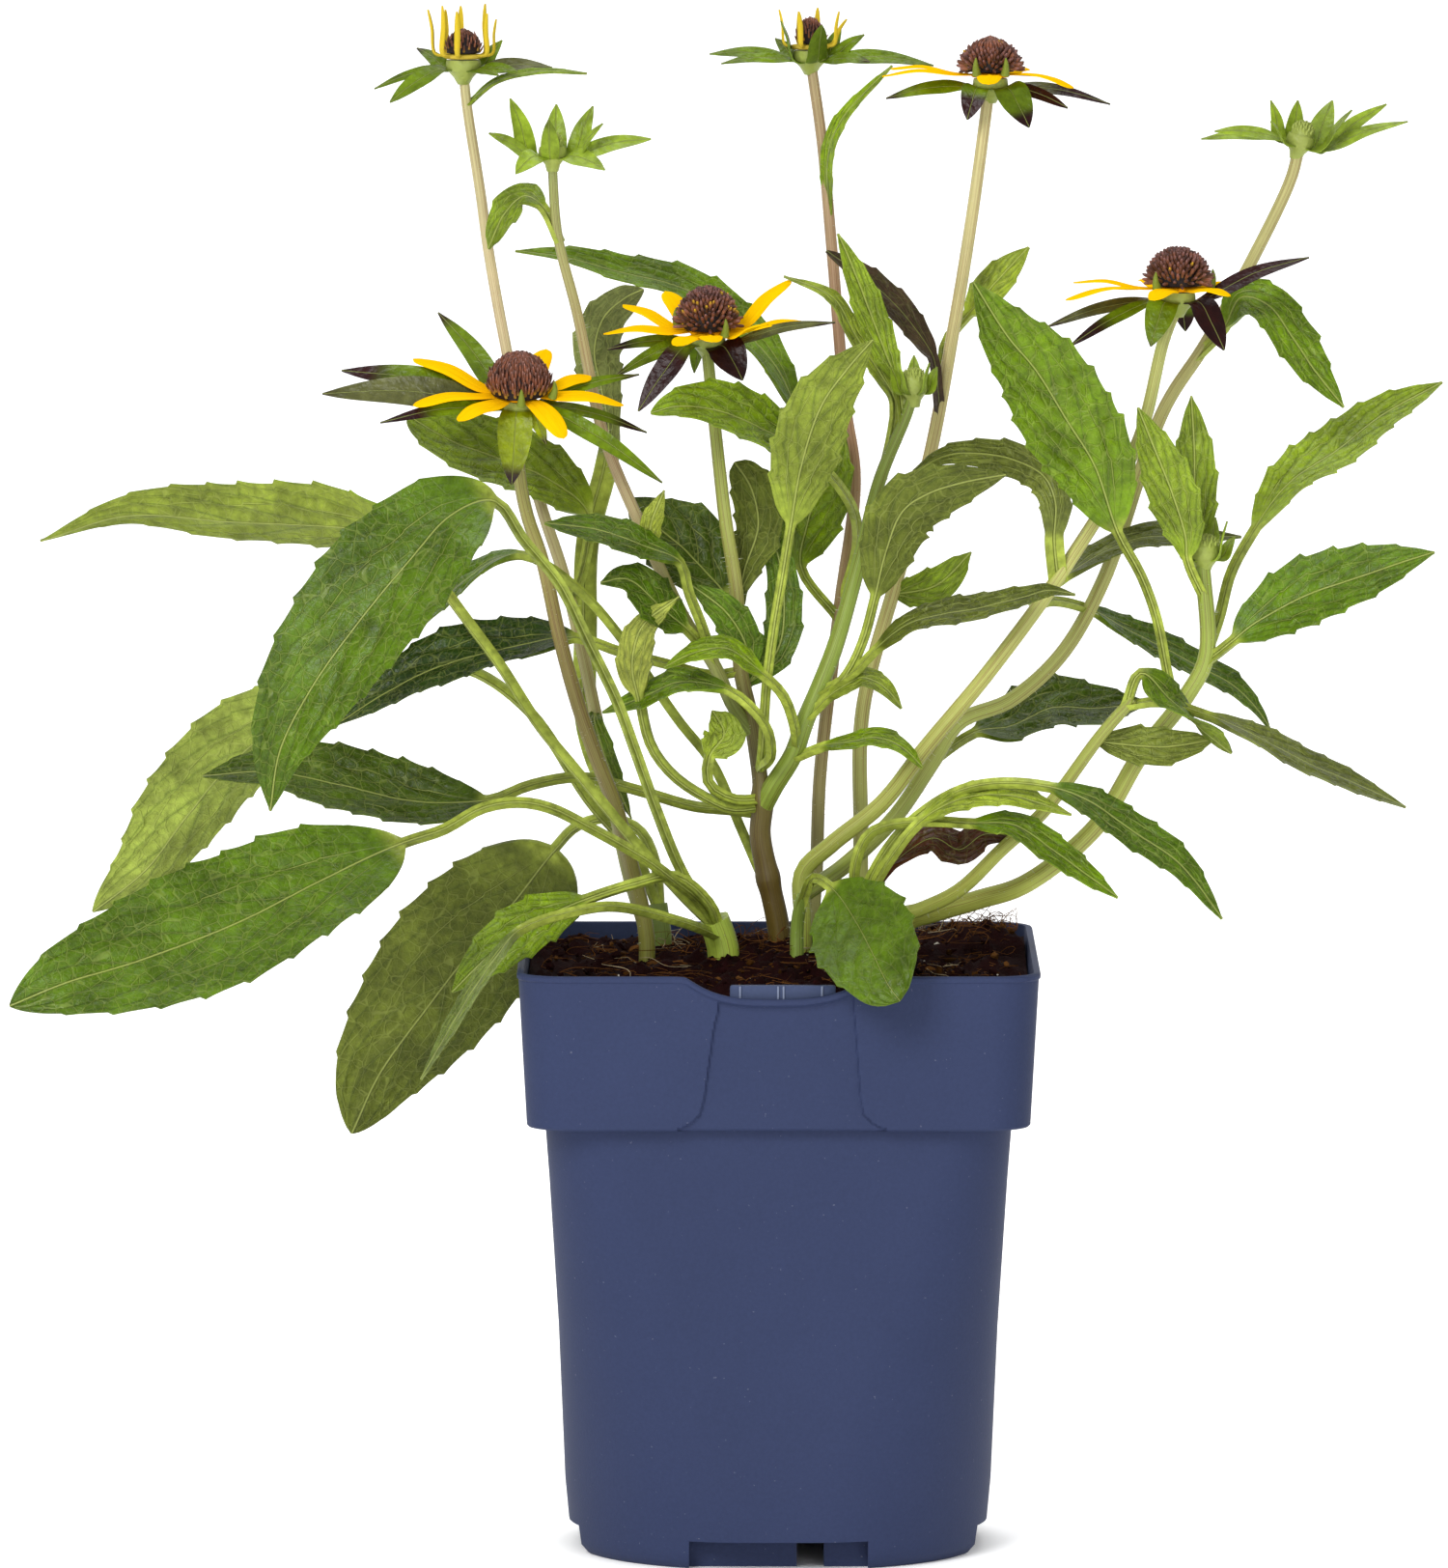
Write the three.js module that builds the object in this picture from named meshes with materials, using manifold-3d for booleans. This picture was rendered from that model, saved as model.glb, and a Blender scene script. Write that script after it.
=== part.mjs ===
// A black-eyed susan in its square nursery pot, in millimetres, +Z up, +Y away from the viewer.
// The origin is the middle of the pot's foot, on the surface that the pot stands on.
import * as THREE from "three";
import { mergeVertices } from "three/addons/utils/BufferGeometryUtils.js";
import Module from "manifold-3d";

const wasm = await Module();
wasm.setup();

// Driving dimensions of the pot
const POT_HEIGHT = 155;
const RIM_HALF = 67;
const SKIRT_HALF = 64.5;
const SKIRT_FOOT = 115;
const BODY_HALF = 59.9;
const BASE_HALF = 52.2;
const WALL = 1.9;
const FLOOR_TOP = 9.4;
const FOOT_HEIGHT = 7.4;
const NOTCH_WIDTH = 46;
const NOTCH_DEPTH = 10;
const PANEL_RECESS = 0.8;
const DIP_HALF = 21;
const DIP_DEPTH = 7.5;
const CORNER_STEPS = 4;
const CUT_OVER = 4;
const FOOT_SLOT = { width: 7, across: 8.2 };
const CORNER_POCKET = { size: 18, offset: 23.5, drainRadius: 3.5, drainSides: 8 };

// Driving dimensions of the soil and of the fit between neighbours
const GAP = 0.35;
const SOIL_LEVEL = 150.5;
const HOLE_EASE = 0.7;
const ROOT_DEPTH = 24;

// Driving dimensions of the plant
const BLADE_THICK = 0.8;
const STALK_WIDE = 2.6;
const STALK_THICK = 2.2;
const FOLD_FROM = 16;
const FOLD_ANGLE = 16;
const FOLD_SEAT = 0.4;
const TOOTH_OUT = 1.05;
const TOOTH_IN = 0.94;
const TOOTH_LEAN = 0.3;
const STEM_SIDES = 5;
const STEM_STEP = 30;
const SEAM_TOLERANCE = 0.15;
const RECEPTACLE_SIDES = 6;
const RAY_DISC = { radius: 5, low: 0.3, high: 1.5, sides: 9 };
const QUILL_UNDER = 3;
const CONE_FOOT = 1.8;
const CONE_ROWS = 6;
const CONE_SIDES = 12;
const KNOB = 0.05;

// The view that the layout is written in: a long lens, level with the flowers, that looks down a little.
// A place is [across, up, depth]: across and up as seen in the plane of the pot's axis, depth behind it.
const VIEW_TILT = THREE.MathUtils.degToRad(5.6);
const VIEW_DISTANCE = 4000;
const VIEW_TARGET = new THREE.Vector3(-14, 0, 197.8);
const VIEW_CENTRE = [-14, 203];
const VIEW_ALONG = new THREE.Vector3(0, Math.cos(VIEW_TILT), -Math.sin(VIEW_TILT));
const VIEW_UP = new THREE.Vector3(0, Math.sin(VIEW_TILT), Math.cos(VIEW_TILT));
const EYE = VIEW_TARGET.clone().addScaledVector(VIEW_ALONG, -VIEW_DISTANCE);

function seen([across, up, depth]) {
  const inPlane = VIEW_TARGET.clone()
    .add(new THREE.Vector3(across - VIEW_CENTRE[0], 0, 0))
    .addScaledVector(VIEW_UP, up - VIEW_CENTRE[1]);
  const share = (depth - EYE.y) / (inPlane.y - EYE.y);
  return EYE.clone().lerp(inPlane, share);
}

// Solids from rings of points, and the joins between them

function solid(geometry) {
  const bare = geometry.index ? geometry.clone() : geometry;
  for (const name of Object.keys(bare.attributes)) {
    if (name !== "position") bare.deleteAttribute(name);
  }
  const merged = mergeVertices(bare, 1e-4);
  const mesh = new wasm.Mesh({
    numProp: 3,
    vertProperties: Float32Array.from(merged.attributes.position.array),
    triVerts: Uint32Array.from(merged.index.array),
  });
  const made = new wasm.Manifold(mesh);
  if (made.volume() > 0) return made;
  const flipped = Uint32Array.from(merged.index.array);
  for (let i = 0; i < flipped.length; i += 3) {
    [flipped[i], flipped[i + 1]] = [flipped[i + 1], flipped[i]];
  }
  const inverse = new wasm.Mesh({ numProp: 3, vertProperties: mesh.vertProperties, triVerts: flipped });
  return new wasm.Manifold(inverse);
}

// Skins rings of equal length in order and closes both ends. The second half of each ring is split along
// the mirrored diagonal, so the two faces of a blade are divided alike.
function loft(rings) {
  const count = rings[0].length;
  const points = rings.flat();
  const faces = [];
  for (let i = 0; i + 1 < rings.length; i++) {
    for (let j = 0; j < count; j++) {
      const a = i * count + j;
      const b = i * count + ((j + 1) % count);
      const c = b + count;
      const d = a + count;
      if (j < count / 2 - 0.5) faces.push(a, b, c, a, c, d);
      else faces.push(a, b, d, b, c, d);
    }
  }
  const last = (rings.length - 1) * count;
  for (let j = 2; j < count; j++) {
    const k = (j + 1) % count;
    faces.push(1, k, j, last + 1, last + j, last + k);
  }
  const geometry = new THREE.BufferGeometry().setFromPoints(points);
  geometry.setIndex(faces);
  return solid(geometry);
}

function box(size, centre) {
  return solid(new THREE.BoxGeometry(...size).translate(...centre));
}

function turned(profile, sides) {
  const points = profile.map(([radius, z]) => new THREE.Vector2(radius, z));
  return new THREE.LatheGeometry(points, sides).rotateX(Math.PI / 2);
}

function joined(solids) {
  return wasm.Manifold.union(solids);
}

// Stems

function curveThrough(points) {
  return new THREE.CatmullRomCurve3(points, false, "centripetal");
}

function stemRings(curve, radiusAt, steps) {
  const rings = [];
  for (let i = 0; i <= steps; i++) {
    const along = curve.getTangentAt(i / steps);
    const side = along.clone().cross(new THREE.Vector3(0, 1, 0)).normalize();
    const front = side.clone().cross(along).normalize();
    const centre = curve.getPointAt(i / steps);
    const ring = [];
    for (let j = 0; j < STEM_SIDES; j++) {
      const angle = (2 * Math.PI * j) / STEM_SIDES;
      const radius = radiusAt(i / steps);
      ring.push(centre.clone()
        .addScaledVector(side, radius * Math.cos(angle))
        .addScaledVector(front, radius * Math.sin(angle)));
    }
    rings.push(ring);
  }
  return rings;
}

function stemSolid(points, base, tip, extra = 0) {
  const curve = curveThrough(points);
  const steps = Math.max(2, Math.round(curve.getLength() / STEM_STEP));
  return loft(stemRings(curve, (t) => base + (tip - base) * t + extra, steps));
}

// The point of a stem's centre line at a given height in the view
function pointAt(points, up) {
  const curve = curveThrough(points);
  const wanted = seen([0, up, 0]).z;
  let best = points[0];
  for (let i = 0; i <= 400; i++) {
    const point = curve.getPoint(i / 400);
    const lifted = seenHeight(point);
    if (Math.abs(lifted - wanted) < Math.abs(seenHeight(best) - wanted)) best = point;
  }
  return best.clone();
}

// The height at which a point is seen in the plane of the pot's axis
function seenHeight(point) {
  const ray = point.clone().sub(EYE);
  return EYE.z + ray.z * (-EYE.y / ray.y);
}

// Leaves: a stalk that widens into a blade with a folded midrib and a toothed edge

const BLADE = [0.75, 0.95];
const RAY = [0.6, 0.45];
const BRACT = [0.5, 0.8];

function outlineAt(x, [rise, fall]) {
  const peak = rise / (rise + fall);
  const top = peak ** rise * (1 - peak) ** fall;
  return (Math.max(x, 0) ** rise * Math.max(1 - x, 0) ** fall) / top;
}

function shareAt(curve, index, count) {
  const lengths = curve.getLengths(300);
  return lengths[Math.round((index / (count - 1)) * 300)] / lengths[300];
}

// Stations along a leaf: the share of its length, the place in the blade and the edge's wave there
function leafStations(curve, start, from, teeth) {
  const places = [];
  const stalkSteps = from ? Math.max(2, Math.round((curve.getLength() * start) / STEM_STEP)) : 0;
  for (let i = 0; i < stalkSteps; i++) places.push([(start * i) / stalkSteps, 0, 1]);
  const steps = 2 * teeth;
  for (let i = 0; i <= steps; i++) {
    const tooth = i % 2 === 1 ? 1 : 0;
    const x = Math.min((i + (i > 1 ? TOOTH_LEAN * tooth : 0)) / steps, 1);
    const wave = tooth ? TOOTH_OUT : TOOTH_IN;
    const edge = i === 0 || i === steps || teeth < 3 ? 1 : wave;
    places.push([start + (1 - start) * x, x, edge]);
  }
  return places;
}

// A leaf from inside its stem to its tip. Its form is how its outline rises and falls, and its turn is how far
// it faces aside, in degrees, at the blade's foot and at its tip.
function leafSolid(points, { width, form = BLADE, from = 0, turn = [0, 0], teeth = 3, stalk = STALK_WIDE }) {
  const curve = curveThrough(points);
  const start = from ? shareAt(curve, from, points.length) : 0;
  const folded = width >= FOLD_FROM;
  const rings = leafStations(curve, start, from, teeth).map(([t, x, edge]) => {
    const centre = curve.getPointAt(t);
    const along = curve.getTangentAt(t);
    const toward = VIEW_ALONG.clone().negate().addScaledVector(along, VIEW_ALONG.dot(along)).normalize();
    const beside = along.clone().cross(toward);
    const angle = THREE.MathUtils.degToRad(turn[0] + (turn[1] - turn[0]) * x);
    const normal = toward.multiplyScalar(Math.cos(angle)).addScaledVector(beside, Math.sin(angle));
    const side = normal.clone().cross(along).normalize();
    const inBlade = from ? THREE.MathUtils.smoothstep(x, 0, 0.25) : 1;
    const half = Math.max((width / 2) * outlineAt(x, form) * edge, (stalk / 2) * (1 - x), BLADE_THICK / 2);
    const bend = THREE.MathUtils.degToRad(folded ? FOLD_ANGLE : 0) * inBlade;
    const depth = STALK_THICK + (BLADE_THICK - STALK_THICK) * inBlade;
    const top = (folded ? [-1, 0, 1] : [-1, 1]).map((k) => centre.clone()
      .addScaledVector(side, k * half * Math.cos(bend))
      .addScaledVector(normal, (Math.abs(k) - FOLD_SEAT) * half * Math.sin(bend) + depth / 2));
    const under = top.map((p) => p.clone().addScaledVector(normal, -depth));
    return [...top, ...under.reverse()];
  });
  return loft(rings);
}

// A plain flat blade of four-cornered rings, for rays and bracts. Its path lies in one plane with the head's
// axis, and its width stands square to that plane all the way.
function bladeSolid(points, { width, facing, base, outline, steps = 3 }) {
  const curve = curveThrough(points);
  const outward = points[points.length - 1].clone().sub(points[0]);
  const side = facing.clone().cross(outward).normalize();
  const rings = [];
  for (let i = 0; i <= steps; i++) {
    const x = i / steps;
    const along = curve.getTangentAt(x);
    const normal = along.clone().cross(side).normalize();
    const half = Math.max((width / 2) * outlineAt(x, outline), (base / 2) * (1 - x), BLADE_THICK / 2);
    rings.push([[-1, 1], [1, 1], [1, -1], [-1, -1]].map(([k, up]) => curve.getPointAt(x)
      .addScaledVector(side, k * half)
      .addScaledVector(normal, (up * BLADE_THICK) / 2)));
  }
  return loft(rings);
}

// Flower heads. Each has a green receptacle with bracts, a ring of rays and a cone, stacked on its axis.

function headFrame({ at, lean = [0, 0] }) {
  const turnY = new THREE.Matrix4().makeRotationY(THREE.MathUtils.degToRad(lean[0]));
  const turnX = new THREE.Matrix4().makeRotationX(THREE.MathUtils.degToRad(lean[1]));
  return turnX.multiply(turnY).setPosition(seen(at));
}

// A path from inside the head, level to where it clears its neighbours, and from there to its tip
function headPath(head, frame, [da, du, dy], [startRadius, startHeight], [clearRadius, clearHeight], arch) {
  const [a, u, y] = head.at;
  const tip = seen([a + da, u + du, y + dy]);
  const inverse = frame.clone().invert();
  const local = tip.clone().applyMatrix4(inverse);
  const flat = new THREE.Vector3(local.x, local.y, 0).normalize();
  const start = flat.clone().multiplyScalar(startRadius).setZ(startHeight);
  const clear = flat.clone().multiplyScalar(clearRadius).setZ(clearHeight);
  const middle = clear.clone().lerp(local, 0.5);
  middle.z += arch * clear.distanceTo(local);
  return [start, clear, middle, local].map((p) => p.applyMatrix4(frame));
}

function headAxis(frame) {
  return new THREE.Vector3().setFromMatrixColumn(frame, 2);
}

function receptacle(head, frame) {
  const r = head.green ?? 4.6;
  const profile = [[0, -6.5], [1.5, -6.5], [r, -2.2], [r * 0.95, 0], [0, 0]];
  return solid(turned(profile, RECEPTACLE_SIDES).applyMatrix4(frame));
}

function bractSolids(head, frame) {
  return head.bracts.map(([da, du, dy, width = 4.5]) => {
    const reach = Math.min(6.2, 0.6 * Math.hypot(da, dy));
    const path = headPath(head, frame, [da, du, dy], [1.5, -3.4], [reach, -2.4], 0.05);
    const base = Math.min(3, width);
    return bladeSolid(path, { width, facing: headAxis(frame), base, outline: BRACT,
      steps: width < 5 ? 2 : 3 });
  });
}

function raySolid(head) {
  const frame = headFrame(head);
  const { radius, low, high, sides } = RAY_DISC;
  const disc = turned([[0, low], [radius, low], [radius, high], [0, high]], sides);
  const middle = (low + high) / 2;
  const blades = head.rays.map(([da, du, dy, width = head.rayWidth ?? 6.5]) => {
    const quill = width < QUILL_UNDER;
    const outside = head.cone[0] / 2 + (quill ? 2.4 : 1.4);
    const clear = [quill ? Math.min(outside, Math.hypot(da, dy)) : outside, middle + (quill ? 0.6 : 0.3)];
    const path = headPath(head, frame, [da, du, dy], [3, middle], clear, 0.07);
    const base = Math.min(2.4, width);
    return bladeSolid(path, { width, facing: headAxis(frame), base, outline: RAY, steps: quill ? 3 : 4 });
  });
  return joined([solid(disc.applyMatrix4(frame)), ...blades]);
}

// The cone's side is knobbly: florets in alternating rows stand out of the dome.
function coneSolid(head) {
  const [width, height, point = 0] = head.cone;
  const rings = [];
  for (let i = 0; i <= CONE_ROWS; i++) {
    const t = i / CONE_ROWS;
    const angle = -0.25 * Math.PI + t * 0.72 * Math.PI;
    const z = CONE_FOOT + height * (i === 0 ? 0 : (Math.sin(angle) + 0.707) / 1.7 + point * t ** 4);
    const radius = (width / 2) * Math.max(Math.cos(angle), 0.12);
    const ring = [];
    for (let j = 0; j < CONE_SIDES; j++) {
      const knob = i > 0 && i < CONE_ROWS ? 1 + KNOB * ((i + j) % 2 === 0 ? 1 : -1) : 1;
      const turn = (2 * Math.PI * j) / CONE_SIDES;
      ring.push(new THREE.Vector3(radius * knob * Math.cos(turn), radius * knob * Math.sin(turn), z));
    }
    rings.push(ring.map((p) => p.applyMatrix4(headFrame(head))));
  }
  return loft(rings);
}

// Where everything stands in the view, in millimetres: stems from the soil up, leaves from their stem out

const STEMS = {
  tallLeft: { base: 1.8, tip: 1.3, path: [[-34, 163, 16], [-39, 181, 18], [-46.5, 218, 22],
    [-55, 255.5, 26], [-62, 277.5, 28], [-70, 314, 32], [-75, 341.5, 36], [-77, 356, 37],
    [-80.5, 378.5, 40], [-81.3, 386, 40]] },
  flowerLeft: { base: 2.2, tip: 1.6, path: [[-34, 164, 2], [-38, 182, 2], [-42, 197, 1], [-47, 210, 0],
    [-52, 224.5, 0], [-56.5, 241, -1], [-61, 261, -3], [-65, 273, -5], [-67, 284, -7],
    [-67.3, 299, -9]] },
  main: { base: 2.4, tip: 1.5, path: [[0.5, 164, 4], [-2.5, 179, 3], [-4.5, 190, 2], [-4, 198, 1],
    [-7, 220.5, 0], [-9.5, 232, 0], [-10.7, 253, 1], [-13.5, 271, 2], [-16, 293, 3], [-18.4, 316, 4]] },
  budLeft: { base: 1.8, tip: 1.2, on: ["main", 216], path: [[-11.5, 223, -1], [-16, 233, -3],
    [-24, 245.5, -4], [-36, 271, -2], [-45, 293, 3], [-52, 325, 6], [-57, 345, 6], [-58.5, 364, 5]] },
  branch: { base: 2.7, tip: 1.4, on: ["main", 197], path: [[-1, 202.5, -2], [4, 210.5, -5], [7, 219, -7],
    [11, 228.5, -7], [15, 239, -6], [21.5, 262, -3], [26.5, 282, 0], [33.5, 299, 3], [35, 304, 3]] },
  tallBack: { base: 1.8, tip: 1.4, path: [[9, 165, 20], [10, 181, 22], [11, 206, 26], [16, 248.5, 32],
    [20, 282, 36], [17.5, 301, 38], [14, 341.5, 43], [11.5, 369, 47], [8.6, 389.5, 49]] },
  tallRight: { base: 2.1, tip: 1.5, path: [[21.5, 166, 26], [21.5, 191, 27], [22, 222, 28],
    [31.5, 258.5, 29], [39.5, 288.5, 29], [46, 323.5, 30], [50.6, 352, 31], [54.6, 382, 32]] },
  pairFront: { base: 2.4, tip: 1.5, path: [[6.5, 168, -4], [6.5, 180, -4], [13.5, 187, -6],
    [27, 198, -8], [38, 212, -10], [55, 232.5, -12], [75, 260, -12], [93, 291, -13], [100, 318, -14],
    [103.5, 327, -14]] },
  pairBack: { base: 2.2, tip: 1.5, on: ["pairFront", 174], path: [[12, 178, 2], [17.5, 182, 6],
    [30, 194, 10], [40, 208.5, 12], [47, 219, 12], [60, 224.5, 13], [73, 236, 14], [84, 255, 15],
    [100, 300, 14], [110.5, 316.5, 13], [123, 339, 11], [133, 360, 10], [135, 368, 10]] },
  lowRight: { base: 2.7, tip: 2, path: [[33.5, 167, -6], [40, 169.5, -9], [52, 173, -14], [64, 177, -18],
    [82.5, 192, -23], [94, 210.5, -25], [106, 226, -25], [111, 236, -25], [110, 260, -24]] },
  leafyRight: { base: 2, tip: 1.5, path: [[30, 168, -19], [37, 170.5, -22], [47, 175.5, -27],
    [58, 186, -32], [69, 196, -36], [84, 216, -40], [92, 225, -41]] },
  crownLeft: { base: 4.4, tip: 4, path: [[-14, 160, -12], [-15, 164, -12.5], [-16.5, 168, -13.5]] },
  crownBack: { base: 3, tip: 2.5, path: [[-30, 163, 36], [-30.5, 168, 36.5], [-31, 172, 37]] },
  crownRight: { base: 3.4, tip: 2.8, path: [[21, 165, -24], [21.5, 169, -25], [22, 173, -26]] },
  crownFront: { base: 2, tip: 1.6, path: [[5, 166, -18], [5.5, 170, -19.5], [6.5, 174, -22]] },
};

const LEAVES = {
  stem_left_tall: [
    { on: ["tallLeft", 200], path: [[-48, 212, 34], [-50, 221.5, 38], [-50, 243.5, 42],
      [-49.5, 265.5, 42], [-44.5, 286, 40], [-43.5, 295, 40], [-45.4, 305.3, 38], [-47.2, 315.5, 36],
      [-44.6, 324, 34], [-39.5, 328.6, 33], [-34.8, 331, 32]], from: 5, width: 14, form: [1.3, 0.75],
      stalk: 6, turn: [160, 150] },
    { on: ["tallLeft", 250], path: [[-50, 262, 22], [-49.5, 273, 20], [-59, 282, 18], [-71.5, 287.5, 18],
      [-84, 292, 18], [-96, 298.5, 20]], from: 2, width: 22, form: [0.6, 0.55], turn: [35, 40] },
    { on: ["tallLeft", 222], path: [[-47.5, 219, 16], [-44, 208, 14], [-38, 194, 12]], width: 6,
      teeth: 2 },
    { on: ["tallLeft", 379], path: [[-73, 385, 38], [-61.5, 387.5, 36], [-49.5, 387, 34]], width: 5,
      teeth: 2, turn: [-70, -70] },
  ],
  stem_centre: [
    { on: ["main", 232], path: [[-17.5, 231, 3], [-29.5, 234, 6], [-41, 237, 8], [-52, 240.5, 9],
      [-69, 239, 13], [-89, 233.5, 18], [-101.5, 227, 20], [-114, 218.5, 22]], from: 4, width: 24,
      turn: [58, 50] },
    { on: ["main", 171], path: [[-10, 192, 13], [-17, 208, 15], [-26, 219.5, 15], [-41, 241, 14],
      [-50, 251.5, 13], [-60, 259.5, 16], [-66, 262, 18], [-73, 261, 21], [-81, 256, 25], [-88, 250, 28],
      [-104.5, 236, 32], [-111.5, 228, 34]], from: 7, width: 15, turn: [72, 60], teeth: 4 },
    { on: ["main", 195], path: [[-12, 196, 5], [-22, 197, 8], [-36, 201, 9], [-51, 204.5, 10],
      [-64, 202.5, 11], [-75, 198.5, 12], [-94, 199, 14], [-114, 203.5, 15], [-131.5, 206.5, 14],
      [-149, 205, 12]], from: 6, width: 26, turn: [45, 50] },
    { on: ["main", 206], path: [[-4, 212.5, -8], [-3, 228.5, -14], [-1, 244, -17], [1, 256, -19],
      [3.2, 269.5, -21], [6.2, 286, -22], [11.3, 301, -23], [17.6, 310, -24], [24.5, 318, -25]], from: 5,
      width: 19, turn: [180, 180] },
    { on: ["main", 250], path: [[-8.5, 258.5, 6], [-5, 270, 9], [-7, 280, 10], [-11.2, 286.4, 11]],
      width: 13, form: [0.9, 0.5], stalk: 4, turn: [170, 170], teeth: 3 },
    { on: ["main", 243], path: [[-14, 252, 8], [-24, 264, 12], [-32, 270.5, 14], [-39, 277, 15]],
      width: 25, turn: [25, 30], from: 1 },
    { on: ["main", 228], path: [[0, 238, 5], [1.5, 252, 8], [-0.5, 264, 10], [-4, 272, 10]], width: 10,
      teeth: 3 },
    { on: ["main", 232], path: [[-8, 237.5, -3], [-13, 247, -6], [-23, 255, -8]], width: 10, teeth: 3 },
    { on: ["budLeft", 238], path: [[-24, 243, -9], [-30, 248.5, -12], [-39, 256, -14], [-46, 255, -15]],
      width: 15, from: 1, turn: [40, 45], teeth: 3 },
    { on: ["budLeft", 234], path: [[-20, 244, -8], [-23.5, 253, -12], [-25.5, 260, -13],
      [-35, 264.8, -14], [-46.5, 268.8, -13], [-60.5, 270.5, -11]], from: 3, width: 14, turn: [58, 50],
      teeth: 4 },
    { on: ["budLeft", 264], path: [[-33, 270, -8], [-29.5, 279, -10]], width: 6, teeth: 2 },
    { on: ["budLeft", 343], path: [[-61, 352, 8], [-65.5, 355.3, 10], [-70.6, 351, 11],
      [-75, 341.5, 11]], width: 11, from: 1, turn: [50, 40], teeth: 3 },
    { on: ["main", 207], path: [[-2, 211, -14], [-3, 217, -18], [-7, 222.5, -20], [-13, 227, -20],
      [-25, 229.5, -18], [-35, 225.5, -14], [-45.5, 221.5, -10]], from: 4, width: 12, turn: [60, 55],
      teeth: 3 },
    { on: ["branch", 212], path: [[4, 218, -12], [1, 226, -18], [-4, 231, -22], [-13, 238, -24],
      [-21.5, 237, -24], [-29.5, 233, -24]], from: 3, width: 11, turn: [60, 55], teeth: 3 },
    { on: ["main", 199], path: [[-12, 199, -6], [-18, 203, -9], [-18, 210, -11], [-14, 216, -12],
      [-17, 222, -13]], from: 3, width: 11, teeth: 2, turn: [20, 20] },
    { on: ["main", 197], path: [[-12, 196.5, -4], [-18, 199, -8], [-27, 205, -11], [-33, 213, -13],
      [-36, 225.5, -14], [-37.5, 233.5, -14], [-35, 243.5, -15], [-25.5, 251.5, -16]], from: 5,
      width: 10, form: [0.7, 1.2], turn: [165, 150] },
    { on: ["branch", 219], path: [[13, 225, -12], [17.5, 228.5, -14], [22, 230.5, -15], [27.5, 228, -16],
      [32, 222.5, -16]], from: 1, width: 9, turn: [-60, -50], teeth: 3 },
    { on: ["branch", 209], path: [[12, 212.5, -12], [19, 214, -16], [25.5, 215, -18], [32, 212.5, -20],
      [37.5, 207, -21]], from: 1, width: 9, turn: [-65, -50], teeth: 3 },
    { on: ["branch", 226], path: [[19, 231, -14], [25.5, 237.5, -18], [34, 244.5, -21],
      [43.5, 247.2, -22], [50, 248.2, -23], [64, 251.5, -24], [70, 253, -24], [77, 252, -24]], from: 2,
      width: 13, turn: [-62, -55] },
    { on: ["branch", 221], path: [[17.5, 231, -12], [22, 240, -16], [25, 251, -18], [28, 263, -19],
      [32.4, 273.5, -20], [39, 278, -21], [48.5, 281, -22], [59, 283, -23]], from: 3, width: 17.5,
      turn: [180, 165] },
    { on: ["branch", 282], path: [[29, 292, 4], [30, 301.5, 6], [27, 308, 8], [20, 319, 10],
      [14, 329, 12], [1.5, 334.5, 14]], from: 2, width: 7, turn: [40, 60], teeth: 3 },
    { on: ["branch", 296], path: [[31, 306, 6], [28, 314, 8], [25, 322, 9], [20, 335, 10],
      [15.5, 345.5, 10]], from: 1, width: 9, turn: [20, 20], teeth: 3 },
  ],
  stem_back_tall: [
    { on: ["tallBack", 284], path: [[13, 291, 38], [5.5, 298.5, 40], [-0.5, 311, 44], [-9, 321, 49],
      [-24, 331.5, 51], [-41.5, 336, 50], [-55, 339.5, 47], [-68, 341, 42]], from: 2, width: 17,
      turn: [50, 60] },
    { on: ["tallBack", 250], path: [[20, 263, 30], [20, 271, 24], [16, 279.5, 12], [6, 289.5, -2],
      [-3, 295, -11], [-15, 300, -16], [-26, 301, -18], [-33, 299, -18]], from: 4, width: 21,
      form: [0.6, 0.75], turn: [50, 50] },
    { on: ["tallBack", 246], path: [[6, 259, 30], [7.5, 270, 28], [12, 284, 27], [16, 297, 26]],
      width: 19, from: 1, teeth: 4 },
    { on: ["tallBack", 350], path: [[13, 366, 42], [16.5, 375, 40], [29.5, 389, 36]], width: 7, teeth: 3,
      turn: [-60, -60] },
  ],
  stem_right_tall: [
    { on: ["tallRight", 299], path: [[41, 306, 26], [40, 313, 24], [33.5, 323.5, 22], [24, 333, 20],
      [12.5, 341, 18]], from: 2, width: 10, form: [0.6, 0.7], turn: [40, 50], teeth: 3 },
    { on: ["tallRight", 306], path: [[43.6, 317, 34], [49, 324, 36], [56, 332.5, 37], [65, 342, 38]],
      from: 2, width: 11, turn: [-30, -40], teeth: 3 },
    { on: ["tallRight", 252], path: [[41, 254.5, 24], [50, 263, 22]], width: 10, teeth: 2 },
  ],
  stems_right_pair: [
    { on: ["pairFront", 256], path: [[71.5, 266, -15], [71.8, 276, -17], [69, 282.5, -14], [61, 287, -8],
      [51, 288.7, -2], [43, 288, 4], [35, 284, 9]], from: 1, width: 10, form: [0.5, 0.8], stalk: 5,
      turn: [0, -40] },
    { on: ["pairFront", 246], path: [[70, 250, 2], [80.5, 248, 16], [90.5, 243, 22], [101, 237.8, 26],
      [110.5, 232.6, 28], [117.5, 228.8, 28], [124, 222.3, 26], [127.5, 217, 24]], from: 2, width: 13,
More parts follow.
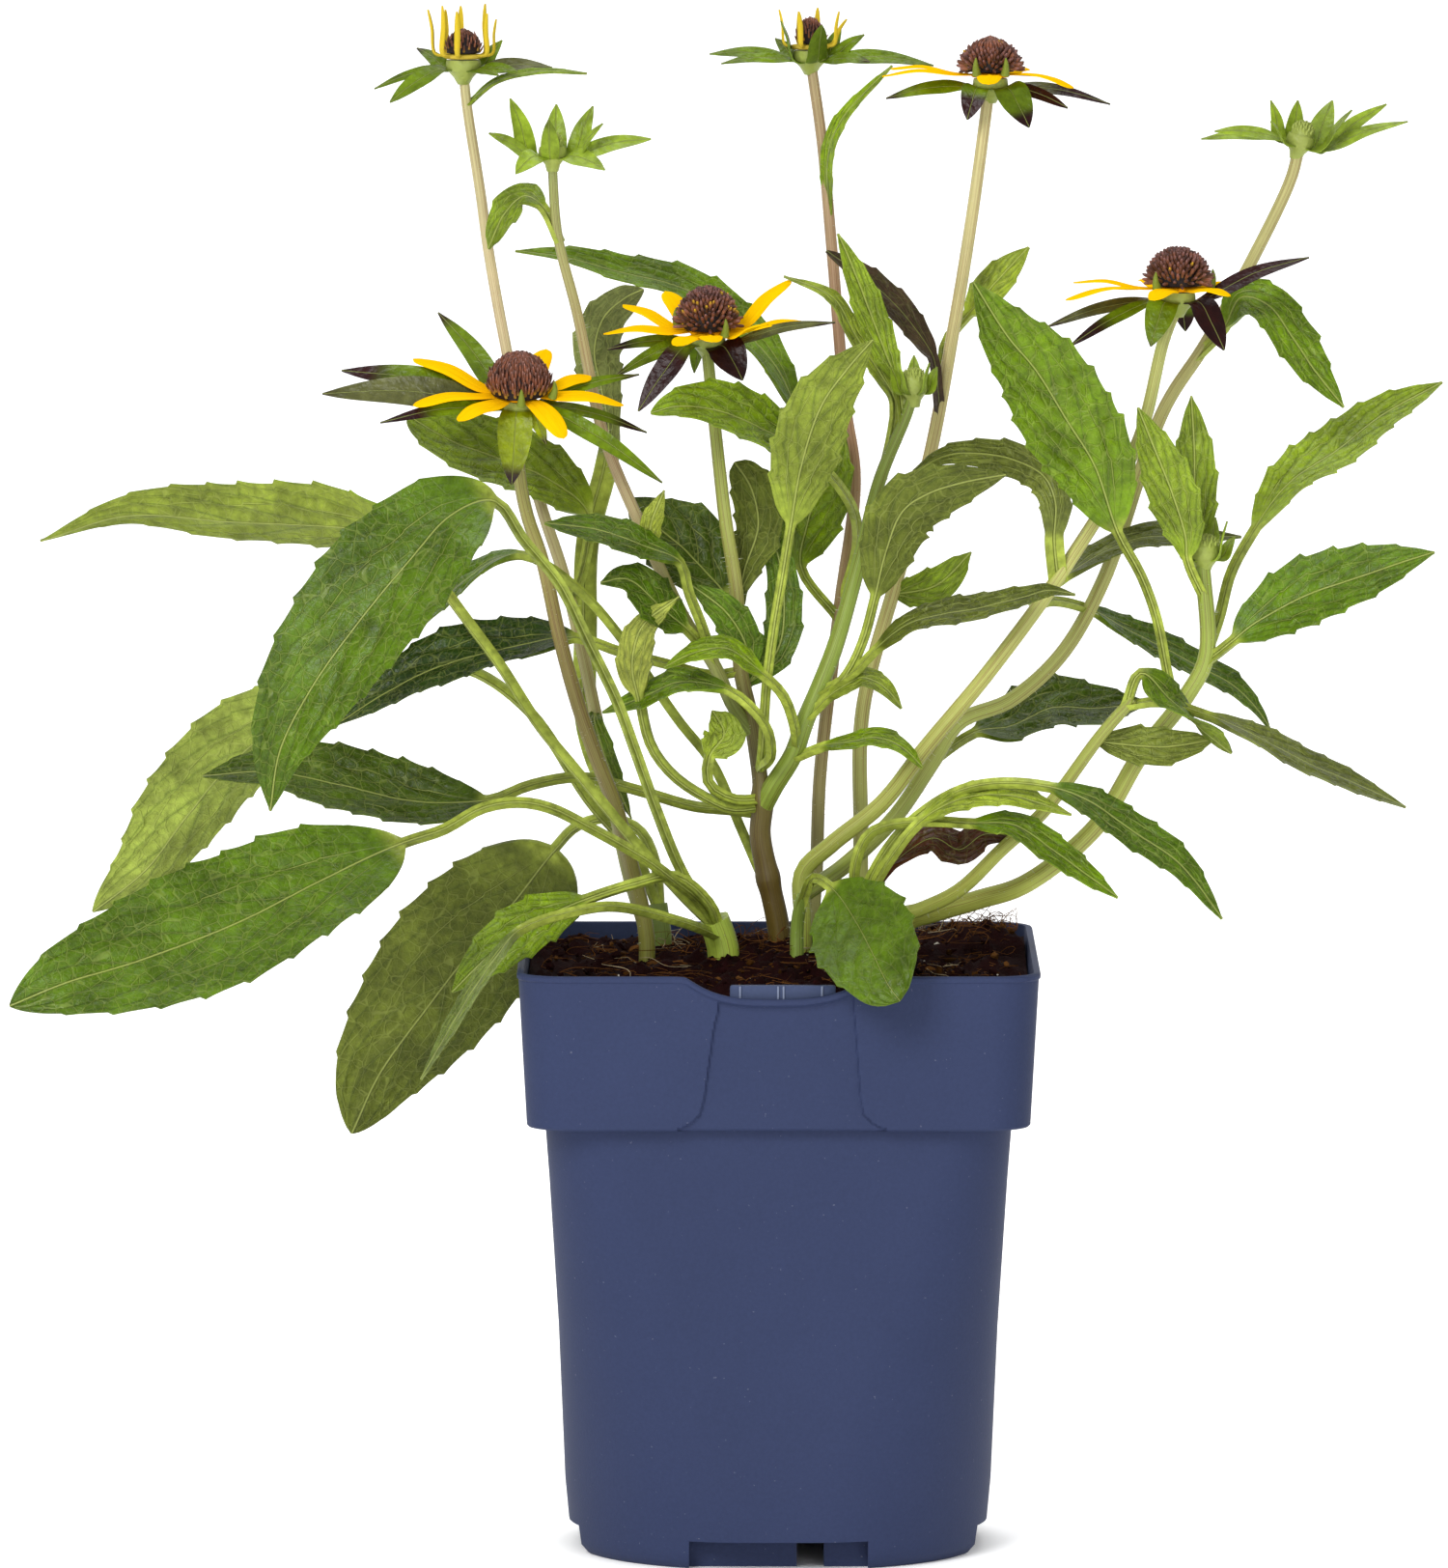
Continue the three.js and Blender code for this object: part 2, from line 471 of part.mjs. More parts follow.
      turn: [-60, -50] },
    { on: ["pairFront", 249], path: [[66, 250, -6], [74, 256, 0], [84, 263, 6], [95, 267, 8],
      [104, 267, 8], [120, 267, 8]], from: 2, width: 13, turn: [-62, -60], teeth: 3 },
    { on: ["pairBack", 207], path: [[42, 210, 16], [51, 216, 20], [60, 218.3, 24], [71, 223.3, 28],
      [82, 223, 32], [96, 224, 36]], from: 2, width: 22, turn: [-50, -50] },
    { on: ["pairBack", 313], path: [[115.8, 321, 8], [120, 329, 5], [127, 327, 2], [133, 319, -1],
      [139, 310, -4], [146.5, 300.5, -6]], from: 1, width: 14, turn: [-45, -20] },
  ],
  stem_right_low: [
    { on: ["lowRight", 222], path: [[101, 231, -27], [98, 246, -28], [94, 257, -29], [88, 268, -30],
      [82, 285.5, -33], [75, 297, -36], [67, 310, -39], [59.5, 319, -42], [50.5, 333, -45]], from: 4,
      width: 26, turn: [0, 10], teeth: 6 },
    { on: ["lowRight", 250], path: [[106, 261, -29], [105.5, 267, -30], [102, 278.5, -31],
      [97, 291, -32], [93.2, 300.5, -32]], from: 1, width: 13.5, turn: [0, 10], teeth: 4 },
    { on: ["lowRight", 252], path: [[109, 262, -16], [108, 275, -12], [107.8, 290, -10],
      [107, 303.5, -8]], from: 1, width: 12, teeth: 3 },
    { on: ["lowRight", 236], path: [[114.5, 246, -20], [117.5, 257.5, -14], [123.5, 268.5, -6],
      [132, 281, 2], [145, 290, 12], [156, 298.5, 20], [172, 307, 28]], from: 3, width: 17,
      turn: [-50, -35] },
    { on: ["lowRight", 234], path: [[118, 240, -28], [123.5, 244.6, -29], [136, 251.8, -32],
      [151, 257, -36], [161, 260.3, -38], [170, 263, -40]], from: 1, width: 20, turn: [-25, -30] },
  ],
  stem_right_leafy: [
    { on: ["leafyRight", 223], path: [[94, 231.5, -43], [101.5, 225, -44], [108, 219.5, -44],
      [117.5, 211, -42]], from: 1, width: 14, turn: [-20, -140], teeth: 4 },
    { on: ["leafyRight", 223], path: [[99, 224, -42], [111, 220.5, -38], [122, 216.3, -34],
      [137, 208.6, -26], [151, 202.5, -18], [162.5, 197, -10]], from: 2, width: 13, turn: [-62, -58] },
    { on: ["leafyRight", 214], path: [[92, 213, -38], [100, 212.6, -37], [107.5, 213.5, -35],
      [113, 214.5, -33]], width: 11, turn: [-20, -20], teeth: 3 },
  ],
  rosette_left: [
    { on: ["crownLeft", 165], path: [[-22, 171, -16], [-34, 184, -18], [-44, 196, -17], [-53, 207, -14],
      [-62, 218, -8], [-72, 233.5, 0], [-79, 243, 4], [-87, 254, 10], [-95, 266, 18], [-108, 270, 34],
      [-143, 272, 60], [-169, 273, 74], [-191, 266, 82]], from: 9, width: 25.5, form: [0.6, 1.1],
      turn: [130, 130], teeth: 6 },
    { on: ["crownLeft", 165], path: [[-25, 180, -20], [-32, 197, -26], [-37, 211, -31],
      [-42, 224.5, -36], [-49, 239, -42], [-57, 255, -49], [-66, 266, -54], [-73.5, 276, -58],
      [-85, 272.5, -64], [-96.5, 260.5, -70], [-109.2, 245, -74], [-120.8, 228.5, -76], [-129, 212, -76],
      [-131.5, 196, -74]], from: 8, width: 36, form: [0.6, 0.95], turn: [30, 15], teeth: 6 },
    { on: ["crownLeft", 164], path: [[-20, 172, -20], [-26, 177, -26], [-34, 183, -32], [-48, 191, -40],
      [-59, 196.5, -46], [-67, 198, -50], [-76.5, 196.5, -55], [-86.5, 191, -60], [-97, 187.5, -65],
      [-118.5, 178.5, -74], [-140.5, 167.5, -82], [-166, 157.5, -89], [-185, 151.5, -94],
      [-199, 145.5, -95]], from: 9, width: 38, form: [0.6, 0.75], turn: [35, 15], teeth: 6 },
    { on: ["crownLeft", 164], path: [[-18, 172, -20], [-27, 179, -26], [-37, 177, -30],
      [-49.5, 173, -34], [-61.5, 168, -38], [-74, 159.3, -41], [-84.5, 149, -42]], from: 4, width: 15,
      turn: [25, 15], teeth: 4 },
    { on: ["crownLeft", 163], path: [[-25, 167, -30], [-42, 171, -42], [-51.5, 170, -47],
      [-66.5, 165, -51], [-73, 158, -52], [-80, 148, -53], [-92.5, 126.5, -52]], from: 4, width: 8,
      turn: [60, 60], teeth: 3 },
  ],
  rosette_back: [
    { on: ["crownBack", 169], path: [[-37, 184, 40], [-49, 198.5, 44], [-64, 221, 50], [-79, 232, 58],
      [-91.5, 233.5, 64], [-105, 231.5, 70], [-117, 226.5, 76], [-130, 219, 82], [-142.7, 208.5, 87],
      [-153.8, 195, 92], [-164.3, 181, 95], [-177.5, 170, 97]], from: 7, width: 30, form: [0.55, 0.8],
      turn: [145, 150], teeth: 6 },
    { on: ["crownBack", 169], path: [[-32, 183, 44], [-36, 191, 50], [-44, 194, 57], [-52, 192, 64],
      [-58, 186, 71], [-68.5, 173, 79], [-80, 160, 83], [-91.5, 145, 86], [-103.5, 128, 88],
      [-110.5, 112.5, 88]], from: 5, width: 41, form: [0.5, 0.7], turn: [165, 165], teeth: 6 },
  ],
  leaf_front: [
    { on: ["crownFront", 171], path: [[9, 178.5, -30], [14, 176, -40], [20, 167.5, -57], [25, 158, -72],
      [28.5, 151, -78], [31.5, 146.8, -80]], from: 2, width: 28, form: [0.7, 0.55], turn: [5, 0],
      teeth: 4 },
  ],
  rosette_right: [
    { on: ["crownRight", 169], path: [[24, 178, -29], [30, 188, -34], [37, 195, -38], [47, 201, -44],
      [57, 203, -49], [70, 202, -54], [80.2, 198.7, -58], [92, 190.7, -62], [104, 182.3, -65],
      [115, 168, -67]], from: 6, width: 12, turn: [-40, -40], teeth: 3 },
    { on: ["crownRight", 169], path: [[20, 180, -29], [24, 190, -33], [37, 193, -40], [50, 192.5, -46],
      [61, 192.4, -50], [71, 186, -53], [80.5, 179, -55], [88, 173.5, -56]], from: 4, width: 11,
      turn: [-50, -40], teeth: 3 },
    { on: ["crownRight", 170], path: [[29, 183, -38], [37, 193, -43], [47, 199, -46], [60, 200, -50],
      [76, 195, -52]], from: 2, width: 10, turn: [-50, -50], teeth: 3 },
    { on: ["crownRight", 170], path: [[29, 181, -26], [40, 189, -27], [47, 186, -29], [53.5, 190, -30],
      [64, 189, -30]], from: 1, width: 9, turn: [-60, 20], teeth: 3, stalk: 2 },
  ],
};

// Heads: across, up and depth of the middle of the ray ring, the lean to the right and to the viewer in
// degrees, and the tips of rays and bracts from there, each with its own width where it isn't the usual one
const HEADS = {
  flower_opening_left: { node: "stem_left_tall", at: [-81.5, 390.5, 40], cone: [10.5, 6.5],
    rayWidth: 1.6, rays: [[-9.2, 13, 2], [-5.5, 14, -5], [-4.7, 13, 6], [-1.7, 12.5, -8], [-0.7, 14, 8],
    [6.2, 12, -4], [5.7, 14.5, 5], [8.5, 10.5, 0]], bracts: [[-23, -7.5, 4, 3.5], [-19, -11, -6, 6],
    [-12, 3, 10], [10, 5, 9], [14, -3, -8], [23, -2, 2, 5], [9, -4, -11]] },
  flower_left: { node: "stem_left_flower", at: [-67, 303, -11], lean: [0, 16], cone: [17.5, 11],
    rays: [[-27.5, 10, 10], [-27.5, -2, -4], [-15.7, -6, -17], [11.5, -10.5, -18], [27, -2, -3],
    [18.5, 5.5, 10], [7, 12.5, 20]], bracts: [[-21, 22, 24, 6], [-46, 7, 14, 8], [-51, 1, 6, 9],
    [-36, -6.5, -6, 4], [-2, -22.5, -9, 9], [37, -22, -8, 5], [33, -9, 6, 3.5], [31, 6, 14, 3.5],
    [1, 12, 24, 4.5], [7, -12, -6, 4]] },
  flower_middle: { node: "stem_centre", at: [-18.2, 319.5, 4], lean: [0, 8], cone: [17.5, 11],
    rays: [[-22, 7.5, 9], [-11, 11, 18], [-27, 0, -3], [-8, -3, -22], [1, -2, -23], [25, 3, 0],
    [21.5, 14, 12], [15.5, 2.5, -12]], bracts: [[33, 3, -8, 3.5], [-18, -20, -8, 7], [-26, -4, 6, 4],
    [-24, -11, 1, 4.5], [-3.5, -10, 12, 5], [9, -12, -9, 9.5]] },
  flower_opening_back: { node: "stem_back_tall", at: [8.3, 393, 49], cone: [8.5, 7], rayWidth: 1.6,
    rays: [[-8, 10.5, 0], [2, 11, 6], [7.5, 10, -2], [-3, 10, -7.5], [9.5, 8, 4], [-3, 10, 6]],
    bracts: [[-7.5, 7.5, -5, 6.5], [3, 6.5, -7, 7], [-26, -1, 4], [-23, -3.5, -5, 3.5], [15.5, -3, -8],
    [32, -4, 2, 5], [8, 6, 8], [14, 4, 5], [-9, 3, 9]] },
  flower_right: { node: "stem_right_tall", at: [55, 385.7, 32], cone: [17, 8.8, 0.16],
    rays: [[-28, 0.5, -2], [-26, 2.5, 8], [21.5, -2.5, -5], [-0.5, -1.5, -22], [9, 2, 20]],
    bracts: [[-27, -5.2, 3, 5], [-6, -10.7, -8, 7], [10, -12.7, -10, 9], [20, -7.7, -4],
    [31, -6.7, 6, 4], [-4, -6, 14, 6]] },
  flower_far_right: { node: "stems_right_pair", at: [103.5, 330.3, -14], cone: [18, 10.2],
    rays: [[-27, 2.5, 3], [-29, -2, -6], [-9, 3, 20], [14, 2, 14], [13, -1, -17], [-6, -2, -22]],
    bracts: [[-34, -9, 1, 4.5], [-28, -14, -8, 4.5], [-7, -14, -11, 8], [12, -15, -7, 8], [34, 9, 8, 5],
    [2, -10, 12, 7]] },
};

const BUDS = [
  { node: "stem_centre", at: [-58.4, 368, 5], green: 3.6, bud: 2.6, bracts: [[-11, 12.5, 4, 6],
    [-16.5, 3.5, -2, 5], [-9.5, -7, -8, 6], [1, 11, 8, 6], [-1, 7, -6, 5], [10.5, 10.5, 5, 6],
    [13, 6, -3, 4], [25.5, 2, 2, 6], [13.5, -6, -8, 6]] },
  { node: "stem_centre", at: [35.2, 307, 3], green: 3.4, bud: 3.2, bracts: [[-4, 5, -4, 4],
    [4, 5, -4, 4], [0, 7, 5, 4], [-6, 4, 2, 4], [6, 4, 2, 4]] },
  { node: "stems_right_pair", at: [135.6, 371, 10], lean: [15, 0], green: 3.6, bud: 2.8,
    bracts: [[-26, -1, 2, 4], [-22.5, 1, -5, 4.5], [-8, 3.5, -8, 5], [-8, 9, 5, 4], [-1, 9, 8, 5],
    [8, 9, 6, 7], [13, 6.5, -5, 5], [22, 8, 3, 5], [27.5, 3.5, -4, 4.5]] },
  { node: "stem_right_low", at: [110.3, 264, -24], green: 4, bud: 3.8, bracts: [[-7, 6, -4, 4],
    [-3, 8, 5, 4], [6, 7, -4, 4], [8, 3, 3, 4], [3, 8, 5, 4], [-7, 2, 3, 4]] },
];

const NODE_STEMS = {
  stem_left_tall: ["tallLeft"],
  stem_left_flower: ["flowerLeft"],
  stem_centre: ["main", "budLeft", "branch"],
  stem_back_tall: ["tallBack"],
  stem_right_tall: ["tallRight"],
  stems_right_pair: ["pairFront", "pairBack"],
  stem_right_low: ["lowRight"],
  stem_right_leafy: ["leafyRight"],
  rosette_left: ["crownLeft"],
  rosette_back: ["crownBack"],
  leaf_front: ["crownFront"],
  rosette_right: ["crownRight"],
};

function stemPoints(name) {
  const { path, on } = STEMS[name];
  const points = path.map(seen);
  return on ? [pointAt(stemPoints(on[0]), on[1]), ...points] : points;
}

function isRooted(name) {
  return !STEMS[name].on;
}

function rootPoints(name) {
  const foot = seen(STEMS[name].path[0]);
  return [foot.clone().setZ(foot.z - ROOT_DEPTH), foot.clone().setZ(foot.z - ROOT_DEPTH / 2), foot];
}

function leafyNode(name) {
  const parts = [];
  for (const stem of NODE_STEMS[name]) {
    const { base, tip } = STEMS[stem];
    const buried = isRooted(stem) ? rootPoints(stem).slice(0, 2) : [];
    parts.push(stemSolid([...buried, ...stemPoints(stem)], base, tip));
  }
  for (const { on, path, ...shape } of LEAVES[name] ?? []) {
    parts.push(leafSolid([pointAt(stemPoints(on[0]), on[1]), ...path.map(seen)], shape));
  }
  for (const head of [...Object.values(HEADS), ...BUDS].filter((one) => one.node === name)) {
    const frame = headFrame(head);
    parts.push(receptacle(head, frame), ...bractSolids(head, frame));
    if (head.bud) parts.push(budSolid(head, frame));
  }
  return joined(parts).simplify(SEAM_TOLERANCE);
}

function budSolid(head, frame) {
  const r = head.bud;
  const profile = [[0, -2], [r, -2], [r * 1.05, 0.4], [r * 0.7, 2.5], [0, 3.5]];
  return solid(turned(profile, RECEPTACLE_SIDES).applyMatrix4(frame));
}

// The pot: rounded square at the rim, nearly round at the foot, with a skirt, a lip dip and notched feet

function squareRing(half, corner, z) {
  const ring = [];
  for (let side = 0; side < 4; side++) {
    for (let i = 0; i < CORNER_STEPS; i++) {
      const angle = (side + i / (CORNER_STEPS - 1)) * (Math.PI / 2);
      const middle = half - corner;
      const sx = [1, -1, -1, 1][side];
      const sy = [1, 1, -1, -1][side];
      const x = sx * middle + corner * Math.cos(angle);
      const y = sy * middle + corner * Math.sin(angle);
      ring.push(new THREE.Vector3(x, y, z));
    }
  }
  return ring;
}

function squareLoft(rows) {
  return loft(rows.map(([z, half, corner]) => squareRing(half, corner, z)));
}

function cavityRows(shrink, foot, top) {
  const shoulder = SKIRT_FOOT + 3.2;
  const flare = (RIM_HALF - SKIRT_HALF) / (POT_HEIGHT - shoulder);
  return [
    [foot, BASE_HALF + 0.2 - shrink, 44],
    [18, BASE_HALF + 1.2 - shrink, 43],
    [60, BODY_HALF - 3.2 - WALL - shrink, 31],
    [100, BODY_HALF - 1 - WALL - shrink, 19],
    [SKIRT_FOOT + 1.5, BODY_HALF - 0.2 - WALL - shrink, 15],
    [shoulder, SKIRT_HALF - WALL - shrink, 10],
    [top, SKIRT_HALF + flare * (top - shoulder) - WALL - shrink, 10],
  ];
}

function outerPot() {
  return squareLoft([
    [0, BASE_HALF, 46],
    [2.5, BASE_HALF + 1.6, 47],
    [18, BASE_HALF + 3, 46],
    [60, BODY_HALF - 3.2, 33],
    [100, BODY_HALF - 1, 21],
    [SKIRT_FOOT, BODY_HALF, 17],
    [SKIRT_FOOT + 0.6, SKIRT_HALF, 12],
    [POT_HEIGHT - 1, RIM_HALF, 12],
    [POT_HEIGHT, RIM_HALF - 0.4, 12],
  ]);
}

// The recessed panel and the dipped lip are cut by outlines in the front view, [across, height].
function frontCut(outline, depth, inner) {
  const shape = new THREE.Shape(outline.map(([x, z]) => new THREE.Vector2(x, z)));
  const block = new THREE.ExtrudeGeometry(shape, { depth, bevelEnabled: false, curveSegments: 1 });
  return solid(block.rotateX(Math.PI / 2).translate(0, inner, 0));
}

function panelOutline() {
  return [[-24.5, SKIRT_FOOT - 3], [24.5, SKIRT_FOOT - 3], [21.5, SKIRT_FOOT + 4], [20, SKIRT_FOOT + 9],
    [18.8, POT_HEIGHT + 3], [-18.8, POT_HEIGHT + 3], [-20, SKIRT_FOOT + 9], [-21.5, SKIRT_FOOT + 4]];
}

function dipOutline() {
  const points = [];
  for (let i = 0; i <= 10; i++) {
    const x = -DIP_HALF + (2 * DIP_HALF * i) / 10;
    points.push([x, POT_HEIGHT - DIP_DEPTH * (1 - (x / DIP_HALF) ** 2) ** 0.7]);
  }
  return [...points, [DIP_HALF + 5, POT_HEIGHT + 3], [-DIP_HALF - 5, POT_HEIGHT + 3]];
}

const BAND = { left: -12.5, right: 15.5, top: 152.6, thick: 2, ribs: [-9, 1, 10.5] };

function band(extra = 0) {
  const front = RIM_HALF - WALL - 0.4;
  const wide = BAND.right - BAND.left + 2 * extra;
  const tall = BAND.top + extra - SKIRT_FOOT - 6;
  const middle = [(BAND.left + BAND.right) / 2, -front + 1 + extra / 2, BAND.top + extra - tall / 2];
  return box([wide, BAND.thick + 2 + extra, tall], middle);
}

function potSolid() {
  let pot = outerPot().subtract(squareLoft(cavityRows(0, FLOOR_TOP, POT_HEIGHT + 6)));
  pot = pot.subtract(frontCut(panelOutline(), 6, -SKIRT_HALF - 0.2).intersect(panelShell()));
  pot = pot.subtract(frontCut(dipOutline(), 8, -RIM_HALF + 4));
  const ribs = BAND.ribs.map((x) => box([1, 1.4, 6], [x, -RIM_HALF + WALL - 0.6, BAND.top - 3.6]));
  pot = joined([pot, band(), ...ribs]);
  return pot.subtract(joined([...footNotches(), ...drainPockets()]));
}

// Cut from below: a notch in each side's foot, a slot right under the pot and a pocket near each corner
function footNotches() {
  const reach = 2 * BODY_HALF;
  const tall = FOOT_HEIGHT + CUT_OVER;
  const middle = (FOOT_HEIGHT - CUT_OVER) / 2;
  const notches = [0, 1, 2, 3].map((side) => {
    const notch = new THREE.BoxGeometry(NOTCH_WIDTH, reach, tall);
    notch.translate(0, -BASE_HALF - 3 + NOTCH_DEPTH - reach / 2, middle);
    return solid(notch.rotateZ((side * Math.PI) / 2));
  });
  return [...notches, box([FOOT_SLOT.width, reach, tall], [FOOT_SLOT.across, 0, middle])];
}

function drainPockets() {
  const { size, offset, drainRadius, drainSides } = CORNER_POCKET;
  return [[1, 1], [-1, 1], [-1, -1], [1, -1]].flatMap(([sx, sy]) => {
    const hole = new THREE.CylinderGeometry(drainRadius, drainRadius, 12, drainSides).rotateX(Math.PI / 2);
    const middle = [sx * offset, sy * offset, (FOOT_HEIGHT - CUT_OVER) / 2];
    return [
      box([size, size, FOOT_HEIGHT + CUT_OVER], middle),
      solid(hole.translate(sx * offset, sy * offset, FLOOR_TOP)),
    ];
  });
}

// A shell just under the skirt's outer face, so that the panel is cut to one depth all the way up
function panelShell() {
  const low = SKIRT_HALF - PANEL_RECESS - 0.4;
  const high = RIM_HALF - PANEL_RECESS + 0.3;
  const outer = [[SKIRT_FOOT - 8, low + 8, 12], [POT_HEIGHT + 8, high + 8, 12]];
  const inner = [[SKIRT_FOOT - 12, low, 12], [SKIRT_FOOT - 6, low, 12], [POT_HEIGHT + 6, high, 12],
    [POT_HEIGHT + 12, high, 12]];
  return squareLoft(outer).subtract(squareLoft(inner));
}

// The soil fills the pot, heaped round the crown and at the right, with a crumbly top

function soilHeight(x, y) {
  const heap = (cx, cy, wide, high) => high * Math.exp(-((x - cx) ** 2 + (y - cy) ** 2) / (2 * wide * wide));
  const crumbs = 0.9 * Math.sin(0.41 * x + 1.3) * Math.cos(0.37 * y) + 0.6 * Math.sin(0.83 * x - 0.71 * y);
  return SOIL_LEVEL + heap(4, 6, 26, 6) + heap(53, 26, 13, 7) + crumbs;
}

function soilSolid(holes) {
  const rows = cavityRows(GAP, FLOOR_TOP + GAP, SOIL_LEVEL - 2);
  const rings = rows.map(([z, half, corner]) => squareRing(half, corner, z));
  const brim = rings.pop();
  for (const share of [1, 0.82, 0.58, 0.3]) {
    rings.push(brim.map((p) => {
      const x = p.x * share;
      const y = p.y * share;
      return new THREE.Vector3(x, y, soilHeight(x, y));
    }));
  }
  return loft(rings).subtract(joined([band(GAP), ...holes])).simplify(SEAM_TOLERANCE);
}

// A plain hole for each rooted stem, wider than the stem by a gap all along
function soilHole(name) {
  const { base, tip } = STEMS[name];
  const roots = rootPoints(name).slice(0, 2);
  const bottom = roots[0].clone().setZ(roots[0].z - GAP);
  const shaft = stemSolid([...roots, ...stemPoints(name)], base, tip, HOLE_EASE);
  return shaft.add(stemSolid([bottom, roots[0], roots[1]], base, base, HOLE_EASE));
}

// Materials, and the group of named pieces

function material(colour, roughness) {
  return new THREE.MeshStandardMaterial({ color: colour, roughness, metalness: 0 });
}

const POT_BLUE = material(0x3a4a78, 0.4);
const SOIL_BROWN = material(0x2f221a, 0.95);
const LEAF_GREEN = material(0x4f7a34, 0.6);
const RAY_YELLOW = material(0xffb40f, 0.55);
const CONE_BROWN = material(0x452c2c, 0.75);

function meshOf(name, made, surface) {
  const { vertProperties, triVerts } = made.getMesh();
  const geometry = new THREE.BufferGeometry();
  geometry.setAttribute("position", new THREE.BufferAttribute(Float32Array.from(vertProperties), 3));
  geometry.setIndex(new THREE.BufferAttribute(Uint32Array.from(triVerts), 1));
  geometry.computeVertexNormals();
  const mesh = new THREE.Mesh(geometry, surface);
  mesh.name = name;
  return mesh;
}

const plant = new THREE.Group();
const stemHoles = Object.keys(STEMS).filter(isRooted).map(soilHole);
plant.add(meshOf("pot", potSolid(), POT_BLUE));
plant.add(meshOf("soil", soilSolid(stemHoles), SOIL_BROWN));
for (const name of Object.keys(NODE_STEMS)) {
  plant.add(meshOf(name, leafyNode(name), LEAF_GREEN));
}
for (const [name, head] of Object.entries(HEADS)) {
  plant.add(meshOf(`${name}_rays`, raySolid(head), RAY_YELLOW));
  plant.add(meshOf(`${name}_cone`, coneSolid(head), CONE_BROWN));
}

export default plant;
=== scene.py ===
# %% [markdown]
# # A black-eyed susan in its nursery pot
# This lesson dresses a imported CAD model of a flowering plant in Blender. The CAD solids carry every stem, leaf
# and flower in the right place, with few faces. Each step below works out a finer surface on the same centre
# lines with numpy, gives it a material made of nodes, and says which solid it stands for. Lengths are written
# in millimetres, as a gardener would measure them, and become metres when a mesh is made.

# %% Load the solids
import math

import bpy
import numpy as np
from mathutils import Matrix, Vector


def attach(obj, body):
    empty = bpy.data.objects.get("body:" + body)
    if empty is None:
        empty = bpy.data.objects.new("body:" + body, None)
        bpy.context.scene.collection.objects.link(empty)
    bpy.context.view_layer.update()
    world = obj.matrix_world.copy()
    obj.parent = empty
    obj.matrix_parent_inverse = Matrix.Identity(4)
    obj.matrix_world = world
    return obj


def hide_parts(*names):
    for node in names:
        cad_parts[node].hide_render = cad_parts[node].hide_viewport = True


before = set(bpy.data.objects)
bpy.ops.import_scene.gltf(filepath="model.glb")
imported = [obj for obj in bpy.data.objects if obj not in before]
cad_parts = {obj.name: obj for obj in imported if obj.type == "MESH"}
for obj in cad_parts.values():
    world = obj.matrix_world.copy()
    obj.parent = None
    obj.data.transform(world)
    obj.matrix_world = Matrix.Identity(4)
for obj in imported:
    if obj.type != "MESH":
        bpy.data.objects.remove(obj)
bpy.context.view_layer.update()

MM = 0.001
rng = np.random.default_rng(11)

# %% [markdown]
# ## The view that the layout is written in
# A plant has no straight edges to measure from, so every point is written as it is seen: millimetres across
# and up in the plane of the pot's axis, and millimetres behind it. A long lens four metres away and a little
# above turns such a place into a point in space. The same numbers then place the camera.

# %% From a place in the view to a point in space
VIEW_TILT = math.radians(5.6)
VIEW_DISTANCE = 4000.0
VIEW_TARGET = np.array([-14.0, 0.0, 197.8])
VIEW_CENTRE = (-14.0, 203.0)
VIEW_ALONG = np.array([0.0, math.cos(VIEW_TILT), -math.sin(VIEW_TILT)])
VIEW_UP = np.array([0.0, math.sin(VIEW_TILT), math.cos(VIEW_TILT)])
EYE = VIEW_TARGET - VIEW_DISTANCE * VIEW_ALONG


def seen(places):
    """A ray from the eye through the place in the plane of the pot's axis, taken to the asked depth. The
    places are a list of numbers, three for each: across, up and behind."""
    across, up, depth = np.asarray(places, float).reshape(-1, 3).T
    plane = VIEW_TARGET + np.outer(across - VIEW_CENTRE[0], (1, 0, 0)) + np.outer(up - VIEW_CENTRE[1], VIEW_UP)
    share = (depth - EYE[1]) / (plane[:, 1] - EYE[1])
    return EYE + share[:, None] * (plane - EYE)


def seen_height(points):
    """The height at which a point is seen in the plane of the pot's axis."""
    ray = points - EYE
    return EYE[2] - ray[:, 2] * EYE[1] / ray[:, 1]


print("eye at", EYE.round(1))

# %% [markdown]
# ## Short ways to wire a finish
# A finish is a web of nodes. Two helpers keep it short to read: one adds a node with its settings, and one
# wraps what a node puts out, so that a plus or a times sign between two outputs adds the Math node for it.

# %% Node helpers
def fill(made, **settings):
    """Sets a node's inputs and properties. An input goes by its name, with _ for a space, or by its number
    after an i, and takes a plain value or another node's output."""
    for key, value in settings.items():
        value = getattr(value, "socket", value)
        name = key.replace("_", " ")
        if key[0] == "i" and key[1:].isdigit():
            name = int(key[1:])
        elif name not in made.inputs:
            setattr(made, key, value)
            continue
        if isinstance(value, bpy.types.NodeSocket):
            made.id_data.links.new(value, made.inputs[name])
        else:
            made.inputs[name].default_value = value
    return made


def add(tree, kind, out=0, **settings):
    """A new node's output, by its number or name."""
    return Output(fill(tree.nodes.new("ShaderNode" + kind), **settings).outputs[out])


def calculate(operation, *values):
    """One Math node on numbers and outputs."""
    tree = next(value.tree for value in values if isinstance(value, Output))
    return add(tree, "Math", operation=operation, **{f"i{n}": value for n, value in enumerate(values)})


